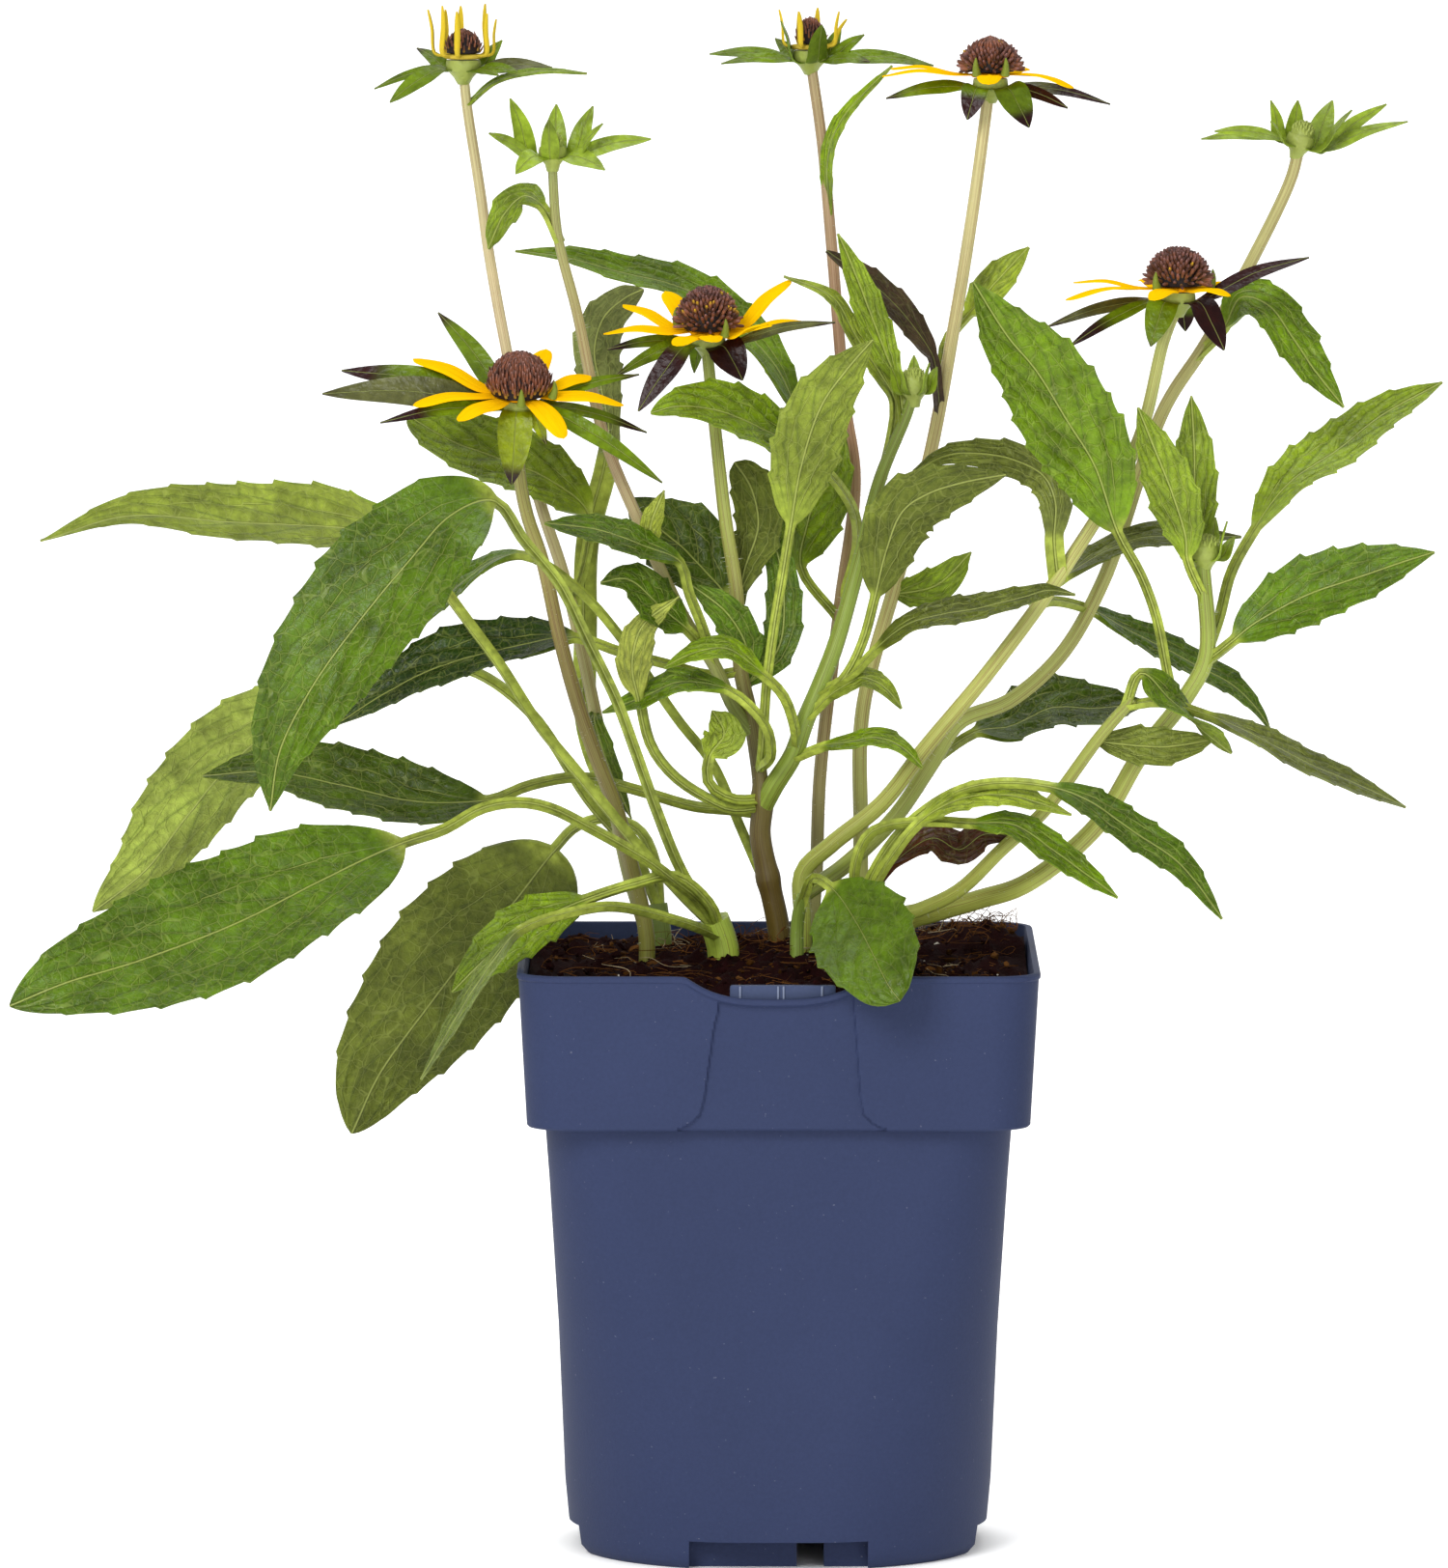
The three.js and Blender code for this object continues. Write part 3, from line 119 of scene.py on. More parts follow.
class Output:
    """What a node puts out. A sign between two of them, or between one and a number, adds a Math node."""

    def __init__(self, socket):
        self.socket, self.tree = socket, socket.id_data

    __add__ = lambda self, other: calculate("ADD", self, other)
    __sub__ = lambda self, other: calculate("SUBTRACT", self, other)
    __rsub__ = lambda self, other: calculate("SUBTRACT", other, self)
    __mul__ = lambda self, other: calculate("MULTIPLY", self, other)
    __truediv__ = lambda self, other: calculate("DIVIDE", self, other)
    __pow__ = lambda self, other: calculate("POWER", self, other)
    __abs__ = lambda self: calculate("ABSOLUTE", self)

    def split(self):
        """The three numbers of a vector."""
        made = fill(self.tree.nodes.new("ShaderNodeSeparateXYZ"), i0=self)
        return [Output(socket) for socket in made.outputs]


def mixed(share, a, b, blend="MIX"):
    """A mix of two colours."""
    return add(share.tree, "Mix", 2, data_type="RGBA", blend_type=blend, i0=share, i6=a, i7=b)


def scaled(colour, factor):
    """A colour times a number."""
    return add(colour.tree, "VectorMath", operation="SCALE", i0=colour, Scale=factor)


def here(tree):
    """The place in the object."""
    return add(tree, "TexCoord", "Object")


def mark(tree, name, out="Vector"):
    """A value that the mesh carries at its points."""
    return add(tree, "Attribute", out, attribute_name=name)


def new_material(name):
    """A material with its node tree and its Principled shader."""
    material = bpy.data.materials.new(name)
    material.use_nodes = True
    return material, material.node_tree, material.node_tree.nodes["Principled BSDF"]

# %% [markdown]
# ## Floor, light and camera
# The plant stands on a plain pale floor that curves up behind it, as a sheet of paper does in a photographer's
# studio. A large soft light in front and to the left shows the folds of the leaves, and the pale room fills
# the shadows. The camera looks along the view that the layout is written in.

# %% Studio
SHEET_HALF = 6.0
SHEET_FRONT = -5.2
SHEET_BACK = 2.2
SHEET_BEND = 1.2
SHEET_TOP = 6.0
PAPER = (0.93, 0.93, 0.93, 1)
GLOW = 0.45
# The glow fades in from the first distance to the second from the pot's middle: a painted shadow round the foot.
FOOT_SHADOW_START = 0.048
FOOT_SHADOW_END = 0.062
ROOM_LIGHT = 0.42
WHITE = (1, 1, 1, 1)


def show(name, data):
    """A new object in the scene."""
    made = bpy.data.objects.new(name, data)
    bpy.context.scene.collection.objects.link(made)
    return made


def studio_sheet():
    """A flat strip that turns through a quarter circle and rises: across is u, along the section is v."""
    flat = np.linspace(SHEET_FRONT, SHEET_BACK, 12)
    turn = np.linspace(0, math.pi / 2, 24)[1:]
    y = np.r_[flat, SHEET_BACK + SHEET_BEND * np.sin(turn), SHEET_BACK + SHEET_BEND]
    z = np.r_[0 * flat, SHEET_BEND * (1 - np.cos(turn)), SHEET_TOP]
    x = np.linspace(-SHEET_HALF, SHEET_HALF, 9)
    points = np.stack([np.repeat(x, len(y)), np.tile(y, len(x)), np.tile(z, len(x))], -1)
    i, j = np.meshgrid(np.arange(len(x) - 1), np.arange(len(y) - 1), indexing="ij")
    corner = (i * len(y) + j).ravel()
    faces = np.stack([corner, corner + len(y), corner + len(y) + 1, corner + 1], -1)
    mesh = bpy.data.meshes.new("studio_sheet")
    mesh.from_pydata(points.tolist(), [], faces.tolist())
    mesh.polygons.foreach_set("use_smooth", np.ones(len(faces), bool))
    return show("studio_sheet", mesh)


def paper_material():
    """Glowing paper. Under the pot and in a narrow ring round its foot the glow fades out, a painted shadow that
    keeps the gaps of the foot dark, and from behind it is clear, so that the plant can be looked at from every
    side."""
    paper, tree, shader = new_material("pale_paper")
    away = add(tree, "VectorMath", "Value", operation="LENGTH", i0=here(tree))
    # No glow under the pot, fading in round its foot: painted shadow.
    glow = add(tree, "MapRange", Value=away, From_Min=FOOT_SHADOW_START, From_Max=FOOT_SHADOW_END, To_Max=GLOW)
    fill(shader, Base_Color=PAPER, Roughness=0.9, Emission_Color=WHITE, Emission_Strength=glow)
    either = add(tree, "MixShader", i0=add(tree, "NewGeometry", "Backfacing"), i1=Output(shader.outputs[0]),
                 i2=add(tree, "BsdfTransparent"))
    fill(tree.nodes["Material Output"], Surface=either)
    return paper


sheet = studio_sheet()
sheet.data.materials.append(paper_material())

room = bpy.data.worlds.new("pale_room")
bpy.context.scene.world = room
room.use_nodes = True
fill(room.node_tree.nodes["Background"], Color=WHITE, Strength=ROOM_LIGHT)


def soft_light(name, place, size, power):
    """A square area light at a place, turned to face the middle of the plant."""
    light = bpy.data.lights.new(name, "AREA")
    light.shape, light.size, light.energy = "SQUARE", size, power
    lamp = show(name, light)
    lamp.location = place
    lamp.rotation_euler = (Vector((0, 0, 0.2)) - Vector(place)).to_track_quat("-Z", "Y").to_euler()


soft_light("key_light", (-1.2, -2.3, 1.9), 1.3, 66)
soft_light("front_light", (0.5, -3.0, 0.25), 1.8, 34)
soft_light("top_light", (0.1, 0.5, 2.2), 1.2, 16)

LENS_LONG_SIDE = 36.0
FRAME_HEIGHT = 1624 / 4
lens = bpy.data.cameras.new("photo_camera")
lens.sensor_fit = "VERTICAL"
lens.sensor_height = LENS_LONG_SIDE
lens.lens = LENS_LONG_SIDE * VIEW_DISTANCE / FRAME_HEIGHT
lens.clip_end = 30
camera = show("photo_camera", lens)
camera.location = EYE * MM
camera.rotation_euler = (math.pi / 2 - VIEW_TILT, 0, 0)
bpy.context.scene.camera = camera
bpy.context.scene.view_settings.view_transform = "Standard"
print("lens", round(lens.lens, 1), "mm")

# %% [markdown]
# ## Curves and skins
# Two tools make almost every piece of a plant. The first walks along a smooth curve through a few given
# points. The second skins a stack of rings into one closed surface, so a stem, a leaf blade or a petal is a
# list of rings, each worked out for all of its points at once.

# %% Walk along a curve
def dense_curve(points, per=32):
    """The centripetal Catmull-Rom curve through points: each stretch between two of them is a cubic whose
    slopes weigh the neighbouring stretches by the square root of their lengths."""
    p = np.asarray(points, float)
    before = np.vstack([2 * p[0] - p[1], p[:-2]])
    after = np.vstack([p[2:], 2 * p[-1] - p[-2]])
    a, b = p[:-1], p[1:]
    d0, d1, d2 = (np.sqrt(np.linalg.norm(y - x, axis=1))[:, None] for x, y in ((before, a), (a, b), (b, after)))
    t1 = ((a - before) / d0 - (b - before) / (d0 + d1) + (b - a) / d1) * d1
    t2 = ((b - a) / d1 - (after - a) / (d1 + d2) + (after - b) / d2) * d1
    w = np.linspace(0, 1, per, endpoint=False)[:, None, None]
    line = a + t1 * w + (3 * (b - a) - 2 * t1 - t2) * w**2 + (2 * (a - b) + t1 + t2) * w**3
    return np.vstack([line.transpose(1, 0, 2).reshape(-1, 3), p[-1]])


def lengths_along(line):
    return np.r_[0, np.cumsum(np.linalg.norm(np.diff(line, axis=0), axis=1))]


def unit(vectors):
    return vectors / np.maximum(np.linalg.norm(vectors, axis=-1, keepdims=True), 1e-9)


def walk(points, shares):
    """Points and directions at shares of a curve's whole length, and that length."""
    line = dense_curve(points)
    run = lengths_along(line)
    slope = np.gradient(line, run, axis=0)
    at = np.asarray(shares) * run[-1]
    place = np.stack([np.interp(at, run, line[:, i]) for i in range(3)], -1)
    way = np.stack([np.interp(at, run, slope[:, i]) for i in range(3)], -1)
    return place, unit(way), run[-1]

# %% Skin rings into closed surfaces
class Skins:
    """Closed surfaces gathered for one mesh. Each is a stack of rings with an even number of points, joined
    by quads, and closed at both ends by quads across the ring."""

    def __init__(self):
        self.points, self.faces, self.marks, self.count = [], [], {}, 0

    def add(self, rings, **marks):
        rows, wide = rings.shape[:2]
        i, j = np.meshgrid(np.arange(rows - 1) * wide, np.arange(wide), indexing="ij")
        k = (j + 1) % wide
        side = np.stack([i + j, i + k, i + wide + k, i + wide + j], -1).reshape(-1, 4)
        n = np.arange(wide // 2 - 1)
        cap = np.stack([n, wide - 1 - n, wide - 2 - n, n + 1], -1)
        faces = np.vstack([side, cap, cap[:, ::-1] + (rows - 1) * wide])
        flat = rings.reshape(-1, 3)
        a, b, c, d = (flat[faces[:, m]] - flat[0] for m in range(4))
        volume = (np.cross(a, b) * c).sum() + (np.cross(a, c) * d).sum()
        if volume < 0:
            faces = faces[:, ::-1]
        self.points.append(flat)
        self.faces.append(faces + self.count)
        self.count += len(flat)
        for name, value in marks.items():
            value = np.asarray(value, float)
            spread = np.broadcast_to(value if value.ndim == 3 else value.reshape((1, 1, -1)),
                                     (rows, wide, value.shape[-1]))
            self.marks.setdefault(name, []).append(spread.reshape(len(flat), -1))

    def piece(self, name, material, node, slot, sharp=50):
        """One object at the origin, with the marks as point attributes, that stands for a solid."""
        mesh = bpy.data.meshes.new(name)
        points = np.vstack(self.points) * MM
        mesh.from_pydata(points.tolist(), [], np.vstack(self.faces).tolist())
        for mark, values in self.marks.items():
            values = np.vstack(values)
            kind = "color" if values.shape[1] == 4 else "vector"
            mesh.attributes.new(mark, "FLOAT_" + kind.upper(), "POINT").data.foreach_set(kind, values.ravel())
        mesh.polygons.foreach_set("use_smooth", np.ones(len(mesh.polygons), bool))
        mesh.set_sharp_from_angle(angle=math.radians(sharp))
        mesh.materials.append(material)
        made = show(name, mesh)
        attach(made, "root")
        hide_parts(node)
        print(name, len(mesh.polygons), "faces")
        return made


def spread(rings, *parts):
    """A vector at each point of rings from three numbers, columns or rows."""
    return np.stack([np.broadcast_to(part, rings.shape[:2]) for part in parts], -1)


def both_faces(k):
    """Places across a strip for its top and then its underside, and a mark of 1 for the underside."""
    return np.r_[k, k[::-1]], np.r_[0 * k, 0 * k + 1]


def smooth(x, low, high):
    """0 up to low, 1 from high, and an S curve between them."""
    t = np.clip((x - low) / (high - low), 0, 1)
    return t * t * (3 - 2 * t)


def golden_spiral(count):
    """Turns that are the golden angle apart."""
    return np.arange(count) * math.pi * (3 - math.sqrt(5))
STUDIO_LIGHT = 1.5
STUDIO_GLOSS = 0.022


def tint(red, green, blue):
    """What a surface has to be so that it looks like this display colour (0 to 255) in the studio: the linear
    colour, less the white gloss on it, divided by the light that falls on it. Alpha is 1."""
    c = np.array([red, green, blue]) / 255
    linear = np.where(c <= 0.04045, c / 12.92, ((c + 0.055) / 1.055) ** 2.4)
    return np.r_[np.clip((linear - STUDIO_GLOSS) / STUDIO_LIGHT, 0.002, 1), 1.0]

# %% [markdown]
# ## Where everything stands
# The layout is a set of tables: stems from the soil up, leaves from their stem out, heads with the tips of
# their rays and bracts, and buds. They are the ones that the solids were made from, so that each fine piece
# lies where its solid does. A path is a list of numbers, three for each point: across, up and behind.

# %% What a row of each table says
BLADE_OUTLINE = (0.75, 0.95)
STALK_WIDE = 2.6
RAY_WIDE = 6.5
BRACT_WIDE = 4.5
CUP_WIDE = 4.6


def stem(base, tip, path, on=None):
    """Radius at the soil and at the tip, centre line, and the stem that it grows from with the height there."""
    return {"base": base, "tip": tip, "path": path, "on": on}


def leaf(look, on, up, path, width, start=0, turn=(0, 0), form=BLADE_OUTLINE, stalk=STALK_WIDE):
    """Colour, stem and height there, centre line, width, the point where the blade starts, how far the blade is
    turned aside at its foot and tip, how its outline rises and falls, and the width of its stalk."""
    return {"look": look, "on": (on, up), "path": path, "width": width, "start": start, "turn": turn,
            "form": form, "stalk": stalk}


def head(node, at, cone, rays, bracts, burn, opened, dusted, lean=(0, 0), ray_width=RAY_WIDE):
    """Middle, cone (width, height and point), tips of rays and bracts from the middle, how far each bract is
    burnt, the share of open florets, how many carry pollen, and the lean to the right and to the viewer."""
    return {"node": node, "at": at, "cone": cone, "rays": rays, "bracts": bracts, "burn": burn,
            "opened": opened, "dusted": dusted, "lean": lean, "ray_width": ray_width, "green": CUP_WIDE}


def bud(node, at, green, bud, bracts, lean=(0, 0)):
    """Middle, radius of the cup and of the bud, tips of the bracts, and the lean."""
    return {"node": node, "at": at, "green": green, "bud": bud, "bracts": bracts, "lean": lean}

# %% Stems, leaves, heads and buds
STEMS = {
    "tallLeft": stem(1.8, 1.3, [-34, 163, 16, -39, 181, 18, -46.5, 218, 22, -55, 255.5, 26, -62, 277.5, 28,
        -70, 314, 32, -75, 341.5, 36, -77, 356, 37, -80.5, 378.5, 40, -81.3, 386, 40]),
    "flowerLeft": stem(2.2, 1.6, [-34, 164, 2, -38, 182, 2, -42, 197, 1, -47, 210, 0, -52, 224.5, 0,
        -56.5, 241, -1, -61, 261, -3, -65, 273, -5, -67, 284, -7, -67.3, 299, -9]),
    "main": stem(2.4, 1.5, [0.5, 164, 4, -2.5, 179, 3, -4.5, 190, 2, -4, 198, 1, -7, 220.5, 0, -9.5, 232, 0,
        -10.7, 253, 1, -13.5, 271, 2, -16, 293, 3, -18.4, 316, 4]),
    "budLeft": stem(1.8, 1.2, [-11.5, 223, -1, -16, 233, -3, -24, 245.5, -4, -36, 271, -2, -45, 293, 3,
        -52, 325, 6, -57, 345, 6, -58.5, 364, 5], ("main", 216)),
    "branch": stem(2.7, 1.4, [-1, 202.5, -2, 4, 210.5, -5, 7, 219, -7, 11, 228.5, -7, 15, 239, -6,
        21.5, 262, -3, 26.5, 282, 0, 33.5, 299, 3, 35, 304, 3], ("main", 197)),
    "tallBack": stem(1.8, 1.4, [9, 165, 20, 10, 181, 22, 11, 206, 26, 16, 248.5, 32, 20, 282, 36, 17.5, 301, 38,
        14, 341.5, 43, 11.5, 369, 47, 8.6, 389.5, 49]),
    "tallRight": stem(2.1, 1.5, [21.5, 166, 26, 21.5, 191, 27, 22, 222, 28, 31.5, 258.5, 29, 39.5, 288.5, 29,
        46, 323.5, 30, 50.6, 352, 31, 54.6, 382, 32]),
    "pairFront": stem(2.4, 1.5, [6.5, 168, -4, 6.5, 180, -4, 13.5, 187, -6, 27, 198, -8, 38, 212, -10,
        55, 232.5, -12, 75, 260, -12, 93, 291, -13, 100, 318, -14, 103.5, 327, -14]),
    "pairBack": stem(2.2, 1.5, [12, 178, 2, 17.5, 182, 6, 30, 194, 10, 40, 208.5, 12, 47, 219, 12,
        60, 224.5, 13, 73, 236, 14, 84, 255, 15, 100, 300, 14, 110.5, 316.5, 13, 123, 339, 11, 133, 360, 10,
        135, 368, 10], ("pairFront", 174)),
    "lowRight": stem(2.7, 2, [33.5, 167, -6, 40, 169.5, -9, 52, 173, -14, 64, 177, -18, 82.5, 192, -23,
        94, 210.5, -25, 106, 226, -25, 111, 236, -25, 110, 260, -24]),
    "leafyRight": stem(2, 1.5, [30, 168, -19, 37, 170.5, -22, 47, 175.5, -27, 58, 186, -32, 69, 196, -36,
        84, 216, -40, 92, 225, -41]),
    "crownLeft": stem(4.4, 4, [-14, 160, -12, -15, 164, -12.5, -16.5, 168, -13.5]),
    "crownBack": stem(3, 2.5, [-30, 163, 36, -30.5, 168, 36.5, -31, 172, 37]),
    "crownRight": stem(3.4, 2.8, [21, 165, -24, 21.5, 169, -25, 22, 173, -26]),
    "crownFront": stem(2, 1.6, [5, 166, -18, 5.5, 170, -19.5, 6.5, 174, -22]),
}

LEAVES = {
    "stem_left_tall": [
        leaf("khaki", "tallLeft", 200, [-48, 212, 34, -50, 221.5, 38, -50, 243.5, 42, -49.5, 265.5, 42,
            -44.5, 286, 40, -43.5, 295, 40, -45.4, 305.3, 38, -47.2, 315.5, 36, -44.6, 324, 34,
            -39.5, 328.6, 33, -34.8, 331, 32], 14, 5, turn=(160, 150), form=(1.3, 0.75), stalk=6),
        leaf("lime", "tallLeft", 250, [-50, 262, 22, -49.5, 273, 20, -59, 282, 18, -71.5, 287.5, 18,
            -84, 292, 18, -96, 298.5, 20], 22, 2, turn=(35, 40), form=(0.6, 0.55)),
        leaf("fresh", "tallLeft", 222, [-47.5, 219, 16, -44, 208, 14, -38, 194, 12], 6),
        leaf("bright", "tallLeft", 379, [-73, 385, 38, -61.5, 387.5, 36, -49.5, 387, 34], 5, turn=(-70, -70)),
    ],
    "stem_centre": [
        leaf("night", "main", 232, [-17.5, 231, 3, -29.5, 234, 6, -41, 237, 8, -52, 240.5, 9, -69, 239, 13,
            -89, 233.5, 18, -101.5, 227, 20, -114, 218.5, 22], 24, 4, turn=(58, 50)),
        leaf("rich", "main", 171, [-10, 192, 13, -17, 208, 15, -26, 219.5, 15, -41, 241, 14, -50, 251.5, 13,
            -60, 259.5, 16, -66, 262, 18, -73, 261, 21, -81, 256, 25, -88, 250, 28, -104.5, 236, 32,
            -111.5, 228, 34], 15, 7, turn=(72, 60)),
        leaf("dark", "main", 195, [-12, 196, 5, -22, 197, 8, -36, 201, 9, -51, 204.5, 10, -64, 202.5, 11,
            -75, 198.5, 12, -94, 199, 14, -114, 203.5, 15, -131.5, 206.5, 14, -149, 205, 12], 26, 6, turn=(45,
            50)),
        leaf("bright", "main", 206, [-4, 212.5, -8, -3, 228.5, -14, -1, 244, -17, 1, 256, -19, 3.2, 269.5, -21,
            6.2, 286, -22, 11.3, 301, -23, 17.6, 310, -24, 24.5, 318, -25], 19, 5, turn=(180, 180)),
        leaf("olive", "main", 250, [-8.5, 258.5, 6, -5, 270, 9, -7, 280, 10, -11.2, 286.4, 11], 13, turn=(170,
            170), form=(0.9, 0.5), stalk=4),
        leaf("dark", "main", 243, [-14, 252, 8, -24, 264, 12, -32, 270.5, 14, -39, 277, 15], 25, 1, turn=(25,
            30)),
        leaf("rich", "main", 228, [0, 238, 5, 1.5, 252, 8, -0.5, 264, 10, -4, 272, 10], 10),
        leaf("rich", "main", 232, [-8, 237.5, -3, -13, 247, -6, -23, 255, -8], 10),
        leaf("deep", "budLeft", 238, [-24, 243, -9, -30, 248.5, -12, -39, 256, -14, -46, 255, -15], 15, 1,
            turn=(40, 45)),
        leaf("deep", "budLeft", 234, [-20, 244, -8, -23.5, 253, -12, -25.5, 260, -13, -35, 264.8, -14,
            -46.5, 268.8, -13, -60.5, 270.5, -11], 14, 3, turn=(58, 50)),
        leaf("cream", "budLeft", 264, [-33, 270, -8, -29.5, 279, -10], 6),
        leaf("lime", "budLeft", 343, [-61, 352, 8, -65.5, 355.3, 10, -70.6, 351, 11, -75, 341.5, 11], 11, 1,
            turn=(50, 40)),
        leaf("fresh", "main", 207, [-2, 211, -14, -3, 217, -18, -7, 222.5, -20, -13, 227, -20, -25, 229.5, -18,
            -35, 225.5, -14, -45.5, 221.5, -10], 12, 4, turn=(60, 55)),
        leaf("bright", "branch", 212, [4, 218, -12, 1, 226, -18, -4, 231, -22, -13, 238, -24, -21.5, 237, -24,
            -29.5, 233, -24], 11, 3, turn=(60, 55)),
        leaf("pale", "main", 199, [-12, 199, -6, -18, 203, -9, -18, 210, -11, -14, 216, -12, -17, 222, -13], 11,
            3, turn=(20, 20)),
        leaf("cream", "main", 197, [-12, 196.5, -4, -18, 199, -8, -27, 205, -11, -33, 213, -13, -36, 225.5, -14,
            -37.5, 233.5, -14, -35, 243.5, -15, -25.5, 251.5, -16], 10, 5, turn=(165, 150), form=(0.7, 1.2)),
        leaf("pale", "branch", 219, [13, 225, -12, 17.5, 228.5, -14, 22, 230.5, -15, 27.5, 228, -16,
            32, 222.5, -16], 9, 1, turn=(-60, -50)),
        leaf("bright", "branch", 209, [12, 212.5, -12, 19, 214, -16, 25.5, 215, -18, 32, 212.5, -20,
            37.5, 207, -21], 9, 1, turn=(-65, -50)),
        leaf("olive", "branch", 226, [19, 231, -14, 25.5, 237.5, -18, 34, 244.5, -21, 43.5, 247.2, -22,
            50, 248.2, -23, 64, 251.5, -24, 70, 253, -24, 77, 252, -24], 13, 2, turn=(-62, -55)),
        leaf("olive", "branch", 221, [17.5, 231, -12, 22, 240, -16, 25, 251, -18, 28, 263, -19,
            32.4, 273.5, -20, 39, 278, -21, 48.5, 281, -22, 59, 283, -23], 17.5, 3, turn=(180, 165)),
        leaf("pale", "branch", 282, [29, 292, 4, 30, 301.5, 6, 27, 308, 8, 20, 319, 10, 14, 329, 12,
            1.5, 334.5, 14], 7, 2, turn=(40, 60)),
        leaf("lime", "branch", 296, [31, 306, 6, 28, 314, 8, 25, 322, 9, 20, 335, 10, 15.5, 345.5, 10], 9, 1,
            turn=(20, 20)),
    ],
    "stem_back_tall": [
        leaf("fresh", "tallBack", 284, [13, 291, 38, 5.5, 298.5, 40, -0.5, 311, 44, -9, 321, 49, -24, 331.5, 51,
            -41.5, 336, 50, -55, 339.5, 47, -68, 341, 42], 17, 2, turn=(50, 60)),
        leaf("bright", "tallBack", 250, [20, 263, 30, 20, 271, 24, 16, 279.5, 12, 6, 289.5, -2, -3, 295, -11,
            -15, 300, -16, -26, 301, -18, -33, 299, -18], 21, 4, turn=(50, 50), form=(0.6, 0.75)),
        leaf("bright", "tallBack", 246, [6, 259, 30, 7.5, 270, 28, 12, 284, 27, 16, 297, 26], 19, 1),
        leaf("bright", "tallBack", 350, [13, 366, 42, 16.5, 375, 40, 29.5, 389, 36], 7, turn=(-60, -60)),
    ],
    "stem_right_tall": [
        leaf("bronze", "tallRight", 299, [41, 306, 26, 40, 313, 24, 33.5, 323.5, 22, 24, 333, 20,
            12.5, 341, 18], 10, 2, turn=(40, 50), form=(0.6, 0.7)),
        leaf("pale", "tallRight", 306, [43.6, 317, 34, 49, 324, 36, 56, 332.5, 37, 65, 342, 38], 11, 2,
            turn=(-30, -40)),
        leaf("lime", "tallRight", 252, [41, 254.5, 24, 50, 263, 22], 10),
    ],
    "stems_right_pair": [
        leaf("khaki", "pairFront", 256, [71.5, 266, -15, 71.8, 276, -17, 69, 282.5, -14, 61, 287, -8,
            51, 288.7, -2, 43, 288, 4, 35, 284, 9], 10, 1, turn=(0, -40), form=(0.5, 0.8), stalk=5),
        leaf("deep", "pairFront", 246, [70, 250, 2, 80.5, 248, 16, 90.5, 243, 22, 101, 237.8, 26,
            110.5, 232.6, 28, 117.5, 228.8, 28, 124, 222.3, 26, 127.5, 217, 24], 13, 2, turn=(-60, -50)),
        leaf("olive", "pairFront", 249, [66, 250, -6, 74, 256, 0, 84, 263, 6, 95, 267, 8, 104, 267, 8,
            120, 267, 8], 13, 2, turn=(-62, -60)),
        leaf("dark", "pairBack", 207, [42, 210, 16, 51, 216, 20, 60, 218.3, 24, 71, 223.3, 28, 82, 223, 32,
            96, 224, 36], 22, 2, turn=(-50, -50)),
        leaf("fresh", "pairBack", 313, [115.8, 321, 8, 120, 329, 5, 127, 327, 2, 133, 319, -1, 139, 310, -4,
            146.5, 300.5, -6], 14, 1, turn=(-45, -20)),
    ],
    "stem_right_low": [
        leaf("fresh", "lowRight", 222, [101, 231, -27, 98, 246, -28, 94, 257, -29, 88, 268, -30, 82, 285.5, -33,
            75, 297, -36, 67, 310, -39, 59.5, 319, -42, 50.5, 333, -45], 26, 4, turn=(0, 10)),
        leaf("lime", "lowRight", 250, [106, 261, -29, 105.5, 267, -30, 102, 278.5, -31, 97, 291, -32,
            93.2, 300.5, -32], 13.5, 1, turn=(0, 10)),
        leaf("lime", "lowRight", 252, [109, 262, -16, 108, 275, -12, 107.8, 290, -10, 107, 303.5, -8], 12, 1),
        leaf("lime", "lowRight", 236, [114.5, 246, -20, 117.5, 257.5, -14, 123.5, 268.5, -6, 132, 281, 2,
            145, 290, 12, 156, 298.5, 20, 172, 307, 28], 17, 3, turn=(-50, -35)),
        leaf("rich", "lowRight", 234, [118, 240, -28, 123.5, 244.6, -29, 136, 251.8, -32, 151, 257, -36,
            161, 260.3, -38, 170, 263, -40], 20, 1, turn=(-25, -30)),
    ],
    "stem_right_leafy": [
        leaf("fresh", "leafyRight", 223, [94, 231.5, -43, 101.5, 225, -44, 108, 219.5, -44, 117.5, 211, -42],
            14, 1, turn=(-20, -140)),
        leaf("khaki", "leafyRight", 223, [99, 224, -42, 111, 220.5, -38, 122, 216.3, -34, 137, 208.6, -26,
            151, 202.5, -18, 162.5, 197, -10], 13, 2, turn=(-62, -58)),
        leaf("khaki", "leafyRight", 214, [92, 213, -38, 100, 212.6, -37, 107.5, 213.5, -35, 113, 214.5, -33],
            11, turn=(-20, -20)),
    ],
    "rosette_left": [
        leaf("bright", "crownLeft", 165, [-22, 171, -16, -34, 184, -18, -44, 196, -17, -53, 207, -14,
            -62, 218, -8, -72, 233.5, 0, -79, 243, 4, -87, 254, 10, -95, 266, 18, -108, 270, 34, -143, 272, 60,
            -169, 273, 74, -191, 266, 82], 25.5, 9, turn=(130, 130), form=(0.6, 1.1)),
        leaf("deep", "crownLeft", 165, [-25, 180, -20, -32, 197, -26, -37, 211, -31, -42, 224.5, -36,
            -49, 239, -42, -57, 255, -49, -66, 266, -54, -73.5, 276, -58, -85, 272.5, -64, -96.5, 260.5, -70,
            -109.2, 245, -74, -120.8, 228.5, -76, -129, 212, -76, -131.5, 196, -74], 36, 8, turn=(30, 15),
            form=(0.6, 0.95)),
        leaf("deep", "crownLeft", 164, [-20, 172, -20, -26, 177, -26, -34, 183, -32, -48, 191, -40,
            -59, 196.5, -46, -67, 198, -50, -76.5, 196.5, -55, -86.5, 191, -60, -97, 187.5, -65,
